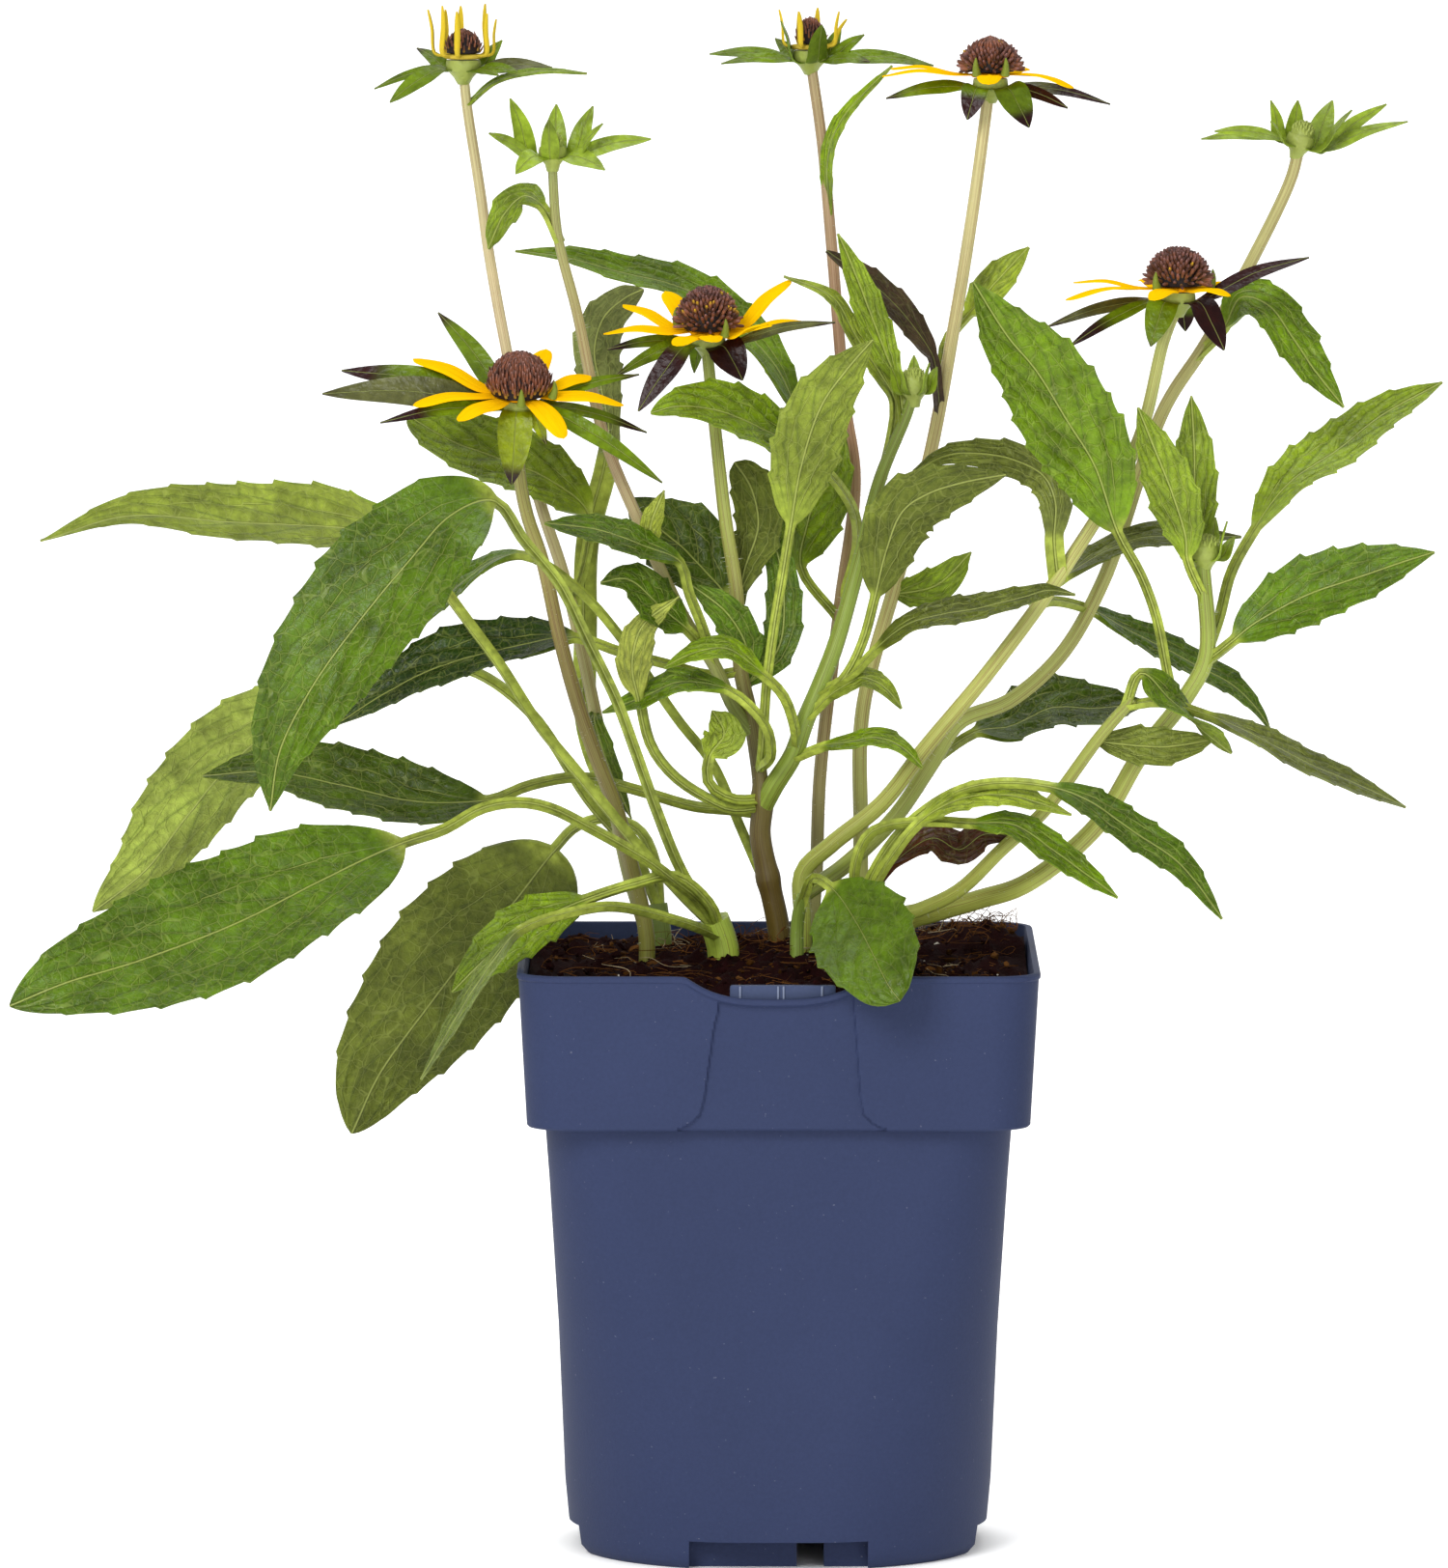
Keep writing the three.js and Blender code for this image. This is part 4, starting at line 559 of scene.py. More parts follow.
            -118.5, 178.5, -74, -140.5, 167.5, -82, -166, 157.5, -89, -185, 151.5, -94, -199, 145.5, -95], 38,
            9, turn=(35, 15), form=(0.6, 0.75)),
        leaf("bright", "crownLeft", 164, [-18, 172, -20, -27, 179, -26, -37, 177, -30, -49.5, 173, -34,
            -61.5, 168, -38, -74, 159.3, -41, -84.5, 149, -42], 15, 4, turn=(25, 15)),
        leaf("silver", "crownLeft", 163, [-25, 167, -30, -42, 171, -42, -51.5, 170, -47, -66.5, 165, -51,
            -73, 158, -52, -80, 148, -53, -92.5, 126.5, -52], 8, 4, turn=(60, 60)),
    ],
    "rosette_back": [
        leaf("lime", "crownBack", 169, [-37, 184, 40, -49, 198.5, 44, -64, 221, 50, -79, 232, 58,
            -91.5, 233.5, 64, -105, 231.5, 70, -117, 226.5, 76, -130, 219, 82, -142.7, 208.5, 87,
            -153.8, 195, 92, -164.3, 181, 95, -177.5, 170, 97], 30, 7, turn=(145, 150), form=(0.55, 0.8)),
        leaf("olive", "crownBack", 169, [-32, 183, 44, -36, 191, 50, -44, 194, 57, -52, 192, 64, -58, 186, 71,
            -68.5, 173, 79, -80, 160, 83, -91.5, 145, 86, -103.5, 128, 88, -110.5, 112.5, 88], 41, 5, turn=(165,
            165), form=(0.5, 0.7)),
    ],
    "leaf_front": [
        leaf("plain", "crownFront", 171, [9, 178.5, -30, 14, 176, -40, 20, 167.5, -57, 25, 158, -72,
            28.5, 151, -78, 31.5, 146.8, -80], 28, 2, turn=(5, 0), form=(0.7, 0.55)),
    ],
    "rosette_right": [
        leaf("rich", "crownRight", 169, [24, 178, -29, 30, 188, -34, 37, 195, -38, 47, 201, -44, 57, 203, -49,
            70, 202, -54, 80.2, 198.7, -58, 92, 190.7, -62, 104, 182.3, -65, 115, 168, -67], 12, 6, turn=(-40,
            -40)),
        leaf("fresh", "crownRight", 169, [20, 180, -29, 24, 190, -33, 37, 193, -40, 50, 192.5, -46,
            61, 192.4, -50, 71, 186, -53, 80.5, 179, -55, 88, 173.5, -56], 11, 4, turn=(-50, -40)),
        leaf("pale", "crownRight", 170, [29, 183, -38, 37, 193, -43, 47, 199, -46, 60, 200, -50, 76, 195, -52],
            10, 2, turn=(-50, -50)),
        leaf("dead", "crownRight", 170, [29, 181, -26, 40, 189, -27, 47, 186, -29, 53.5, 190, -30,
            64, 189, -30], 9, 1, turn=(-60, 20), stalk=2),
    ],
}

HEADS = {
    "flower_opening_left": head("stem_left_tall", [-81.5, 390.5, 40], (10.5, 6.5), rays=[[-9.2, 13, 2], [-5.5,
        14, -5], [-4.7, 13, 6], [-1.7, 12.5, -8], [-0.7, 14, 8], [6.2, 12, -4], [5.7, 14.5, 5], [8.5, 10.5, 0]],
        bracts=[[-23, -7.5, 4, 3.5], [-19, -11, -6, 6], [-12, 3, 10], [10, 5, 9], [14, -3, -8], [23, -2, 2, 5],
        [9, -4, -11]], burn=(0, 0, 0.2, 0, 0, 0, 0), opened=0.0, dusted=0, ray_width=1.6),
    "flower_left": head("stem_left_flower", [-67, 303, -11], (17.5, 11), rays=[[-27.5, 10, 10], [-27.5, -2, -4],
        [-15.7, -6, -17], [11.5, -10.5, -18], [27, -2, -3], [18.5, 5.5, 10], [7, 12.5, 20]], bracts=[[-21, 22,
        24, 6], [-46, 7, 14, 8], [-51, 1, 6, 9], [-36, -6.5, -6, 4], [-2, -22.5, -9, 9], [37, -22, -8, 5], [33,
        -9, 6, 3.5], [31, 6, 14, 3.5], [1, 12, 24, 4.5], [7, -12, -6, 4]], burn=(0.2, 0.3, 0.1, 0.4, 0.24, 0.1,
        0.3, 0.2, 0.1, 0.2), opened=0.0, dusted=0, lean=(0, 16)),
    "flower_middle": head("stem_centre", [-18.2, 319.5, 4], (17.5, 11), rays=[[-22, 7.5, 9], [-11, 11, 18],
        [-27, 0, -3], [-8, -3, -22], [1, -2, -23], [25, 3, 0], [21.5, 14, 12], [15.5, 2.5, -12]], bracts=[[33,
        3, -8, 3.5], [-18, -20, -8, 7], [-26, -4, 6, 4], [-24, -11, 1, 4.5], [-3.5, -10, 12, 5], [9, -12, -9,
        9.5]], burn=(0.2, 0.7, 0.3, 0.2, 0.1, 1.0), opened=1.0, dusted=30, lean=(0, 8)),
    "flower_opening_back": head("stem_back_tall", [8.3, 393, 49], (8.5, 7), rays=[[-8, 10.5, 0], [2, 11, 6],
        [7.5, 10, -2], [-3, 10, -7.5], [9.5, 8, 4], [-3, 10, 6]], bracts=[[-7.5, 7.5, -5, 6.5], [3, 6.5, -7, 7],
        [-26, -1, 4], [-23, -3.5, -5, 3.5], [15.5, -3, -8], [32, -4, 2, 5], [8, 6, 8], [14, 4, 5], [-9, 3, 9]],
        burn=(0, 0, 0, 0, 0.2, 0, 0, 0, 0), opened=0.0, dusted=0, ray_width=1.6),
    "flower_right": head("stem_right_tall", [55, 385.7, 32], (17, 8.8, 0.16), rays=[[-28, 0.5, -2], [-26, 2.5,
        8], [21.5, -2.5, -5], [-0.5, -1.5, -22], [9, 2, 20]], bracts=[[-27, -5.2, 3, 5], [-6, -10.7, -8, 7],
        [10, -12.7, -10, 9], [20, -7.7, -4], [31, -6.7, 6, 4], [-4, -6, 14, 6]], burn=(0.2, 0.5, 0.3, 0.8, 0.5,
        0.6), opened=0.5, dusted=8),
    "flower_far_right": head("stems_right_pair", [103.5, 330.3, -14], (18, 10.2), rays=[[-27, 2.5, 3], [-29, -2,
        -6], [-9, 3, 20], [14, 2, 14], [13, -1, -17], [-6, -2, -22]], bracts=[[-34, -9, 1, 4.5], [-28, -14, -8,
        4.5], [-7, -14, -11, 8], [12, -15, -7, 8], [34, 9, 8, 5], [2, -10, 12, 7]], burn=(0.2, 0.4, 0.1, 1.0,
        1.0, 0.4), opened=0.86, dusted=8),
}

BUDS = [
    bud("stem_centre", [-58.4, 368, 5], 3.6, 2.6, [[-11, 12.5, 4, 6], [-16.5, 3.5, -2, 5], [-9.5, -7, -8, 6],
        [1, 11, 8, 6], [-1, 7, -6, 5], [10.5, 10.5, 5, 6], [13, 6, -3, 4], [25.5, 2, 2, 6], [13.5, -6, -8, 6]]),
    bud("stem_centre", [35.2, 307, 3], 3.4, 3.2, [[-4, 5, -4, 4], [4, 5, -4, 4], [0, 7, 5, 4], [-6, 4, 2, 4],
        [6, 4, 2, 4]]),
    bud("stems_right_pair", [135.6, 371, 10], 3.6, 2.8, [[-26, -1, 2, 4], [-22.5, 1, -5, 4.5], [-8, 3.5, -8, 5],
        [-8, 9, 5, 4], [-1, 9, 8, 5], [8, 9, 6, 7], [13, 6.5, -5, 5], [22, 8, 3, 5], [27.5, 3.5, -4, 4.5]],
        lean=(15, 0)),
    bud("stem_right_low", [110.3, 264, -24], 4, 3.8, [[-7, 6, -4, 4], [-3, 8, 5, 4], [6, 7, -4, 4], [8, 3, 3,
        4], [3, 8, 5, 4], [-7, 2, 3, 4]]),
]

NODE_STEMS = {
    "stem_left_tall": ["tallLeft"],
    "stem_left_flower": ["flowerLeft"],
    "stem_centre": ["main", "budLeft", "branch"],
    "stem_back_tall": ["tallBack"],
    "stem_right_tall": ["tallRight"],
    "stems_right_pair": ["pairFront", "pairBack"],
    "stem_right_low": ["lowRight"],
    "stem_right_leafy": ["leafyRight"],
    "rosette_left": ["crownLeft"],
    "rosette_back": ["crownBack"],
    "leaf_front": ["crownFront"],
    "rosette_right": ["crownRight"],
}

# %% Points of the stems
ROOT_DEPTH = 24.0


def point_at(points, up):
    """The point of a centre line that is seen at a height."""
    line = dense_curve(points, 60)
    wanted = seen([0, up, 0])[0, 2]
    return line[np.abs(seen_height(line) - wanted).argmin()]


def stem_points(name):
    """A stem's centre line, from the stem that it grows on."""
    points, on = seen(STEMS[name]["path"]), STEMS[name]["on"]
    return np.vstack([point_at(stem_points(on[0]), on[1]), points]) if on else points


def buried_points(name):
    """A stem's centre line, with its root straight down into the soil."""
    points = stem_points(name)
    if STEMS[name]["on"]:
        return points
    return np.vstack([points[0] - (0, 0, ROOT_DEPTH), points[0] - (0, 0, ROOT_DEPTH / 2), points])


print("stems:", len(STEMS), "leaves:", sum(map(len, LEAVES.values())))

# %% [markdown]
# ## Effects that several finishes share
# A leaf, a stem and a petal are never one flat colour. Patches of lighter and darker tissue, fine streaks and a
# fine grain show on many of them, so each is a node group with named inputs and one output, built once.

# %% Patches, streaks and grain
def make_group(name, result, inputs):
    """A node group that puts out one result, worked out by the function build from its inputs."""
    def wire(build):
        group = bpy.data.node_groups.new(name, "ShaderNodeTree")
        for label, kind in inputs.items():
            group.interface.new_socket(label, in_out="INPUT", socket_type="NodeSocket" + kind)
        kind = "NodeSocket" + inputs.get(result, "Float")
        group.interface.new_socket(result, in_out="OUTPUT", socket_type=kind)
        entry = group.nodes.new("NodeGroupInput").outputs
        worked_out = build(group, *[Output(entry[label]) for label in inputs])
        fill(group.nodes.new("NodeGroupOutput"), i0=worked_out)
        return group
    return wire


@make_group("patches", "Color", {"Color": "Color", "Scale": "Float", "Depth": "Float"})
def PATCHES(group, colour, scale, depth):
    """Soft lighter and darker areas: the colour times one plus noise times depth."""
    noise = add(group, "TexNoise", Detail=3.0, Roughness=0.6, Vector=here(group), Scale=scale)
    return scaled(colour, (noise - 0.5) * depth + 1.0)


@make_group("streaks", "Streak", {"Vector": "Vector", "Stretch": "Vector", "Scale": "Float", "Detail": "Float",
                                  "Roughness": "Float"})
def STREAKS(group, vector, stretch, scale, detail, roughness):
    """Noise on a mark of the surface that is stretched along it."""
    way = add(group, "VectorMath", operation="MULTIPLY", i0=vector, i1=stretch)
    return add(group, "TexNoise", Vector=way, Scale=scale, Detail=detail, Roughness=roughness)


@make_group("grain", "Height", {"Scale": "Float", "Relief": "Float"})
def GRAIN(group, scale, relief):
    """Fine noise added to a relief, as the height for a bump."""
    return add(group, "TexNoise", Scale=scale, Detail=2.0, Vector=here(group)) + relief


def patched(colour, scale, depth):
    return add(colour.tree, "Group", node_tree=PATCHES, Color=colour, Scale=scale, Depth=depth)


def grain(tree, scale, distance, relief=0.0, strength=1.0):
    """The normal of a surface with grain and a relief on it."""
    height = add(tree, "Group", node_tree=GRAIN, Scale=scale, Relief=relief)
    return add(tree, "Bump", Distance=distance, Strength=strength, Height=height)


print("node groups:", [g.name for g in bpy.data.node_groups])

# %% [markdown]
# ## The leaf finish
# A leaf of this plant has a pale midrib, a few strong veins that arch towards the tip, and a fine net between
# them. The veins must follow the blade, so every leaf point carries a mark, *blade*: how far along it is, how
# far out from the midrib, and whether it is underneath. The mark *size* carries the blade's length, its half
# width and how strongly the veins show, and *hue* the leaf's green, partly its own colour and partly painted
# light and shade. Veins are drawn with a few Math nodes from these marks, and they also press the surface in
# through a bump; a band along each side vein is darkened as painted shade in its valley.

# %% Leaf material
VEINS_A_SIDE = 5.0
VEIN_LEAN = 0.36
VEIN_ARCH = 0.26
VEIN_PALE = tuple(tint(196, 206, 116))
# Painted shade for the valley along each side vein.
VALLEY_SHADE = (0.4, 0.5, 0.3, 1)
NETS = ((230.0, 0.06, 0.3), (560.0, 0.1, 0.12))


def leaf_material():
    """Side veins lie where the way along, less a lean and an arch outwards, passes a whole number of steps."""
    material, tree, shader = new_material("leaf_green")
    along, out, under = mark(tree, "blade").split()
    length, half, veined = mark(tree, "size").split()
    away = abs(out)

    def line(distance, width):
        """1 on the line, falling to 0 at width away, smoothly."""
        return add(tree, "MapRange", interpolation_type="SMOOTHSTEP", Value=abs(distance),
                   From_Min=width * 0.25, From_Max=width, To_Min=1.0, To_Max=0.0)

    phase = along - away * VEIN_LEAN - away**3.0 * VEIN_ARCH
    apart = (calculate("FRACT", phase * VEINS_A_SIDE) - 0.5) / VEINS_A_SIDE * length
    bow = calculate("SINE", along * math.pi) ** 0.55 * 0.5
    strong = line((away - bow) * half, 0.28) * (1.0 - along)
    veins = calculate("MAXIMUM", line(apart, 0.36) * (0.85 - away * 0.7), strong)
    for scale, width, share in NETS:
        net = add(tree, "TexVoronoi", "Distance", feature="DISTANCE_TO_EDGE", Scale=scale, Vector=here(tree))
        veins = calculate("MAXIMUM", veins, line(net, width) * share)
    veins = calculate("MAXIMUM", veins * veined, line(out * half, 0.5))
    body = patched(patched(mark(tree, "hue", "Color"), 80.0, 1.9), 400.0, 1.3)
    # Painted shade: a band along each side vein is darkened as if lying in its valley.
    body = mixed(line(apart, 2.6) * veined * 0.42, body, VALLEY_SHADE, "MULTIPLY")
    raised = (under * 2.0 - 1.0) * veins
    fill(shader, Base_Color=mixed(veins * 0.6, body, VEIN_PALE), Specular_IOR_Level=0.2,
         Roughness=add(tree, "MapRange", Value=under, To_Min=0.34, To_Max=0.7),
         Normal=grain(tree, 600.0, 0.0004, raised * 1.5))
    return material


LEAF = leaf_material()

# %% Stem material
STRIPE_PINK = (0.62, 0.36, 0.3, 1)


def stem_material():
    """Tints carried by the mark hue, with stripes and fine lengthwise streaks from the mark round."""
    material, tree, shader = new_material("stem_green")
    streak = add(tree, "Group", node_tree=STREAKS, Vector=mark(tree, "round"), Stretch=(0.9, 0.9, 0.6),
                 Scale=3.0, Detail=2.0, Roughness=0.6)
    stripes = add(tree, "MapRange", Value=streak, From_Min=0.52, From_Max=0.62, To_Max=0.8)
    body = mixed(stripes, patched(mark(tree, "hue", "Color"), 60.0, 0.35), STRIPE_PINK, "MULTIPLY")
    fill(shader, Base_Color=scaled(body, (streak - 0.5) * -0.6 + 1.0), Roughness=0.5,
         Normal=grain(tree, 700.0, 0.0002, streak, 0.6))
    return material


STEM = stem_material()
print("materials:", [m.name for m in bpy.data.materials])

# %% [markdown]
# ## Leaves
# A leaf is a stalk that widens into a blade. Along its centre line stand rings: a shallow trough for the
# stalk, and a thin folded strip for the blade. The outline rises and falls as a power of the way along, small
# teeth point forward along its edge, and the tissue between the veins is puffed up a little.

# %% Colours of the leaves
# Top and underside greens of each look. They are partly the leaves' own greens and partly painted light and
# shade: a leaf that stands more in shade was given a darker look, and one more in the light a lighter look.
LOOKS = {
    "night": ((58, 74, 20), (92, 108, 40)),
    "dark": ((80, 99, 26), (102, 119, 44)),
    "deep": ((92, 119, 30), (118, 136, 50)),
    "rich": ((100, 130, 32), (130, 150, 56)),
    "fresh": ((115, 145, 38), (140, 160, 60)),
    "bright": ((135, 163, 44), (142, 157, 66)),
    "lime": ((148, 172, 56), (160, 176, 82)),
    "pale": ((168, 186, 68), (164, 178, 84)),
    "cream": ((194, 204, 84), (190, 198, 92)),
    "olive": ((104, 114, 50), (110, 120, 56)),
    "khaki": ((126, 136, 66), (134, 142, 84)),
    "bronze": ((84, 70, 58), (104, 92, 70)),
    "plain": ((98, 125, 26), (130, 150, 56)),
    "silver": ((122, 138, 72), (140, 150, 96)),
    "dead": ((84, 54, 40), (104, 74, 54)),
}
FAINT_VEINS = ("plain", "bronze", "dead")
DIM_STALK = ("dark", "deep")
BARE_STALK = ("bronze", "dead")
STALK_GREEN = tint(176, 190, 84)

# %% One leaf
FOLD_FROM = 16.0
FOLD_ANGLE = math.radians(16)
FOLD_SEAT = 0.4
BLADE_THICK = 0.42
STALK_THICK = 2.2
ACROSS = 21
FIELD_PUFF = 0.65
BOW_PRESS = 0.7
KEEL = 0.7
LEAF_FRONT = -99.5


def outline_at(x, rise, fall):
    """x to the power of rise, times what is left to the power of fall, scaled so that its peak is 1."""
    peak = rise / (rise + fall)
    top = peak**rise * (1 - peak) ** fall
    return np.clip(x, 0, 1) ** rise * np.clip(1 - x, 0, 1) ** fall / top


def leaf_rings(points, leaf, seed):
    """Rings of a leaf. At each station the blade faces the viewer, turned aside by a given angle. The top runs
    from edge to edge as a V fold with a soft valley, and the underside follows it, thicker at the midrib."""
    width, turn, start_index = leaf["width"], leaf["turn"], leaf["start"]
    run = lengths_along(dense_curve(points))
    start = run[start_index * 32] / run[-1] if start_index else 0.0
    blade_length = run[-1] * (1 - start)
    stalk_rows = max(6, int(run[-1] * start / 3.0)) if start_index else 0
    rows = int(np.clip(blade_length / 1.0, 28, 110))
    x = np.r_[np.zeros(stalk_rows), np.linspace(0, 1, rows)]
    shares = np.r_[np.linspace(0, start, stalk_rows, endpoint=False), start + (1 - start) * x[stalk_rows:]]
    place, way, _ = walk(points, shares)
    toward = unit(-VIEW_ALONG + way * (way @ VIEW_ALONG)[:, None])
    beside = np.cross(way, toward)
    angle = np.radians(turn[0] + (turn[1] - turn[0]) * x)[:, None]
    normal = toward * np.cos(angle) + beside * np.sin(angle)
    side = unit(np.cross(normal, way))
    in_blade = smooth(x, 0, 0.25) if start_index else np.ones(len(x))
    if start_index:
        in_blade[:stalk_rows] = 0
    teeth = np.clip(round(blade_length / 8), 3, 10)
    saw = (x * teeth + seed) % 1
    toothed = smooth(x, 0.05, 0.2) * smooth(1 - x, 0.04, 0.12) * 20 / max(width, 16)
    edge = 1 + toothed * (0.15 * saw**3 - 0.04)
    half = np.maximum.reduce([width / 2 * outline_at(x, *leaf["form"]) * edge, leaf["stalk"] / 2 * (1 - x),
                              np.full(len(x), 0.25)])
    bend = ((FOLD_ANGLE if width >= FOLD_FROM else FOLD_ANGLE * 0.5) * in_blade)[:, None]
    k = np.linspace(-1, 1, ACROSS)
    k = np.sign(k) * np.abs(k) ** 0.9
    out = np.abs(k)
    along, wide, blade = x[:, None], half[:, None], in_blade[:, None]
    phase = along - VEIN_LEAN * out - VEIN_ARCH * out**3
    bow = 0.5 * np.sin(math.pi * along) ** 0.55
    puff = (-FIELD_PUFF * np.cos(2 * math.pi * (phase * VEINS_A_SIDE - 0.5))
            - BOW_PRESS * np.exp(-(((out - bow) / 0.13) ** 2)) * (1 - along))
    puff *= np.minimum(wide / 12, 1) * np.sin(math.pi * out) * blade
    wave = 0.03 * wide * out**2 * np.sin(2 * math.pi * (2.6 * along + seed + 0.3 * np.sign(k)))
    lift = (np.sqrt(k**2 + 0.01) - FOLD_SEAT) * wide * np.sin(bend) + puff + wave * blade
    depth = (STALK_THICK + (BLADE_THICK - STALK_THICK) * blade) / 2
    trough = 0.25 * STALK_THICK * (1 - k**2) * (1 - blade)
    keel = KEEL * np.exp(-((wide * k / 1.1) ** 2)) * (1 - 0.8 * along) * blade
    round_under = blade + (1 - blade) * np.sqrt(np.clip(1 - k**2, 0.02, 1))
    centre = place[:, None] + side[:, None] * (k * wide * np.cos(bend))[..., None]
    top = centre + normal[:, None] * (lift + depth - trough)[..., None]
    under = centre + normal[:, None] * (lift - depth * round_under - keel)[..., None]
    rings = np.concatenate([top, under[:, ::-1]], 1)
    rings[..., 1] = np.maximum(rings[..., 1], LEAF_FRONT)
    return rings, x, in_blade, k, half, blade_length


def add_leaf(skins, leaf, seed):
    """One leaf with its marks. Its own green is a little lighter or darker than its neighbours'."""
    root = point_at(stem_points(leaf["on"][0]), leaf["on"][1])
    rings, x, in_blade, k, half, length = leaf_rings(np.vstack([root, seen(leaf["path"])]), leaf, seed)
    out, is_under = both_faces(k)
    look = leaf["look"]
    top, under = (tint(*c) for c in LOOKS[look])
    stalk = top if look in BARE_STALK else STALK_GREEN * (0.85 if look in DIM_STALK else 1.0)
    green = (smooth(x, 0.0, 0.06) if leaf["start"] else np.ones(len(x)))[:, None, None]
    shade = 1 + 0.12 * math.sin(seed * 40)
    hue = stalk * (1 - green) + np.where(is_under[:, None] > 0, under, top) * green * shade
    hue[..., 3] = 1
    thin, shown = (2.2, 0.45) if look in FAINT_VEINS else (1.0, 1.0)
    skins.add(rings, hue=hue, blade=spread(rings, x[:, None], out, is_under),
              size=spread(rings, length, thin * half[:, None], shown * in_blade[:, None]))


for node, leaves in LEAVES.items():
    skins = Skins()
    for number, leaf in enumerate(leaves):
        add_leaf(skins, leaf, seed=(0.37 * number + 0.11 * len(node)) % 1)
    skins.piece(node + "_leaves", LEAF, node, "leaf", sharp=60)

# %% [markdown]
# ## Stems
# The stems are round with low ribs, pale green, and some are flushed with pink or brown. A ring of ribs
# carried along the same centre line gives them, and the colour changes from the soil up by a short list of
# tints for each stem. The oldest stem is thicker below its joints. Fine pale hairs stand out of every stem;
# each is a tiny tapered rod of a few faces, because there are thousands.

# %% Colours of the stems, from the soil up
STEM_TINTS = {
    "tallLeft": [(150, 160, 84), (178, 180, 108), (210, 198, 142), (228, 210, 162), (214, 206, 146)],
    "flowerLeft": [(138, 142, 62), (148, 140, 70), (164, 148, 84), (172, 176, 92)],
    "main": [(112, 98, 44), (108, 90, 46), (124, 114, 60), (168, 166, 90), (182, 192, 98), (168, 184, 88)],
    "budLeft": [(146, 162, 76), (180, 178, 106), (212, 190, 146), (190, 180, 118), (160, 172, 96)],
    "branch": [(150, 170, 72), (156, 178, 76), (150, 172, 76)],
    "tallBack": [(150, 160, 82), (184, 166, 112), (198, 156, 124), (180, 164, 118)],
    "tallRight": [(164, 174, 84), (200, 200, 116), (224, 212, 146), (226, 216, 154)],
    "pairFront": [(160, 176, 70), (196, 202, 100), (208, 210, 122), (196, 202, 116)],
    "pairBack": [(156, 172, 70), (186, 194, 100), (200, 196, 122), (196, 190, 124)],
    "lowRight": [(192, 198, 92), (196, 204, 98), (184, 196, 92), (164, 184, 82)],
    "leafyRight": [(184, 194, 88), (188, 196, 94), (174, 186, 88)],
    "crownLeft": [(176, 196, 66), (180, 202, 84)],
    "crownBack": [(140, 164, 76), (150, 172, 82)],
    "crownRight": [(140, 166, 70), (150, 174, 78)],
    "crownFront": [(140, 166, 70), (150, 174, 78)],
}
STEM_JOINTS = {"main": [(0.34, 0.3, 0.4), (0.22, 0.0, 0.2)]}
HAIR_EVERY = 0.9
HAIR_LONG = 1.1
HAIR_HALF = 0.05
HAIR_WHITE = tint(226, 230, 206)
STEM_ROUND = 20
RIBS = 5


def across_frame(way):
    """Two directions square to a way and to each other."""
    side = unit(np.cross(way, (0.0, 1.0, 0.0)))
    return side, np.cross(side, way)


def tube_rings(points, radius_at, sides=STEM_ROUND, ribs=0.0, step=2.5):
    """Rings square to a curve: a circle whose radius swells by a share ribs times the cosine of RIBS turns."""
    rows = max(6, int(lengths_along(dense_curve(points))[-1] / step))
    t = np.linspace(0, 1, rows)
    place, way, length = walk(points, t)
    side, front = across_frame(way)
    angle = 2 * math.pi * np.arange(sides) / sides
    radius = np.asarray(radius_at(t))[:, None] * (1 + ribs * np.cos(RIBS * angle))
    rings = (place[:, None] + side[:, None] * (radius * np.cos(angle))[..., None]
             + front[:, None] * (radius * np.sin(angle))[..., None])
    return rings, t, angle, length


def tints_along(tints, t):
    """The tints at equal steps, and blends between them."""
    colours = np.array([tint(*c) for c in tints])
    at = np.linspace(0, 1, len(colours))
    return np.stack([np.interp(t, at, colours[:, i]) for i in range(4)], -1)


def swelling(t, joints):
    """One, and more below and at each joint of a stem: a soft step and a short bump."""
    return 1 + sum(low * (1 - smooth(t, at - 0.02, at + 0.01)) + high * np.exp(-(((t - at) / 0.014) ** 2))
                   for at, low, high in joints)


def add_stem(skins, name):
    """A ribbed stem, with the mark round running about it and up it, and its hairs."""
    base, tip = STEMS[name]["base"], STEMS[name]["tip"]
    points = buried_points(name)
    joints = STEM_JOINTS.get(name, ())
    rings, t, angle, length = tube_rings(points, lambda t: (base + (tip - base) * t) * swelling(t, joints),
                                         ribs=0.05, step=1.2 if joints else 2.5)
    hue = np.broadcast_to(tints_along(STEM_TINTS[name], t)[:, None], (*rings.shape[:2], 4))
    turn = spread(rings, np.cos(angle) * 3, np.sin(angle) * 3, (t * length * 0.01)[:, None])
    skins.add(rings, hue=hue, round=turn)
    add_hairs(skins, points, base, tip, length)


def add_hairs(skins, points, base, tip, length):
    """Fine pale hairs that stand straight out of a stem above the soil."""
    count = int(length / HAIR_EVERY)
    share = np.sort(rng.uniform(0.12, 0.99, count))
    place, way, _ = walk(points, share)
    side, front = across_frame(way)
    angle = rng.uniform(0, 2 * math.pi, count)[:, None]
    out = side * np.cos(angle) + front * np.sin(angle)
    across = np.cross(out, way)
    radius = (base + (tip - base) * share)[:, None]
    long = rng.uniform(0.6, 1.2, count)[:, None] * HAIR_LONG

    def square(reach, half):
        """The four corners of a hair's cross section at a reach from the stem's centre line."""
        corners = [(1, 0), (0, 1), (-1, 0), (0, -1)]
        return np.stack([place + out * reach + half * (a * across + b * way) for a, b in corners], 1)

    for low, high in zip(square(radius - 0.1, HAIR_HALF), square(radius + long, 0.3 * HAIR_HALF)):
        skins.add(np.stack([low, high]), hue=HAIR_WHITE, round=(0, 0, 0))


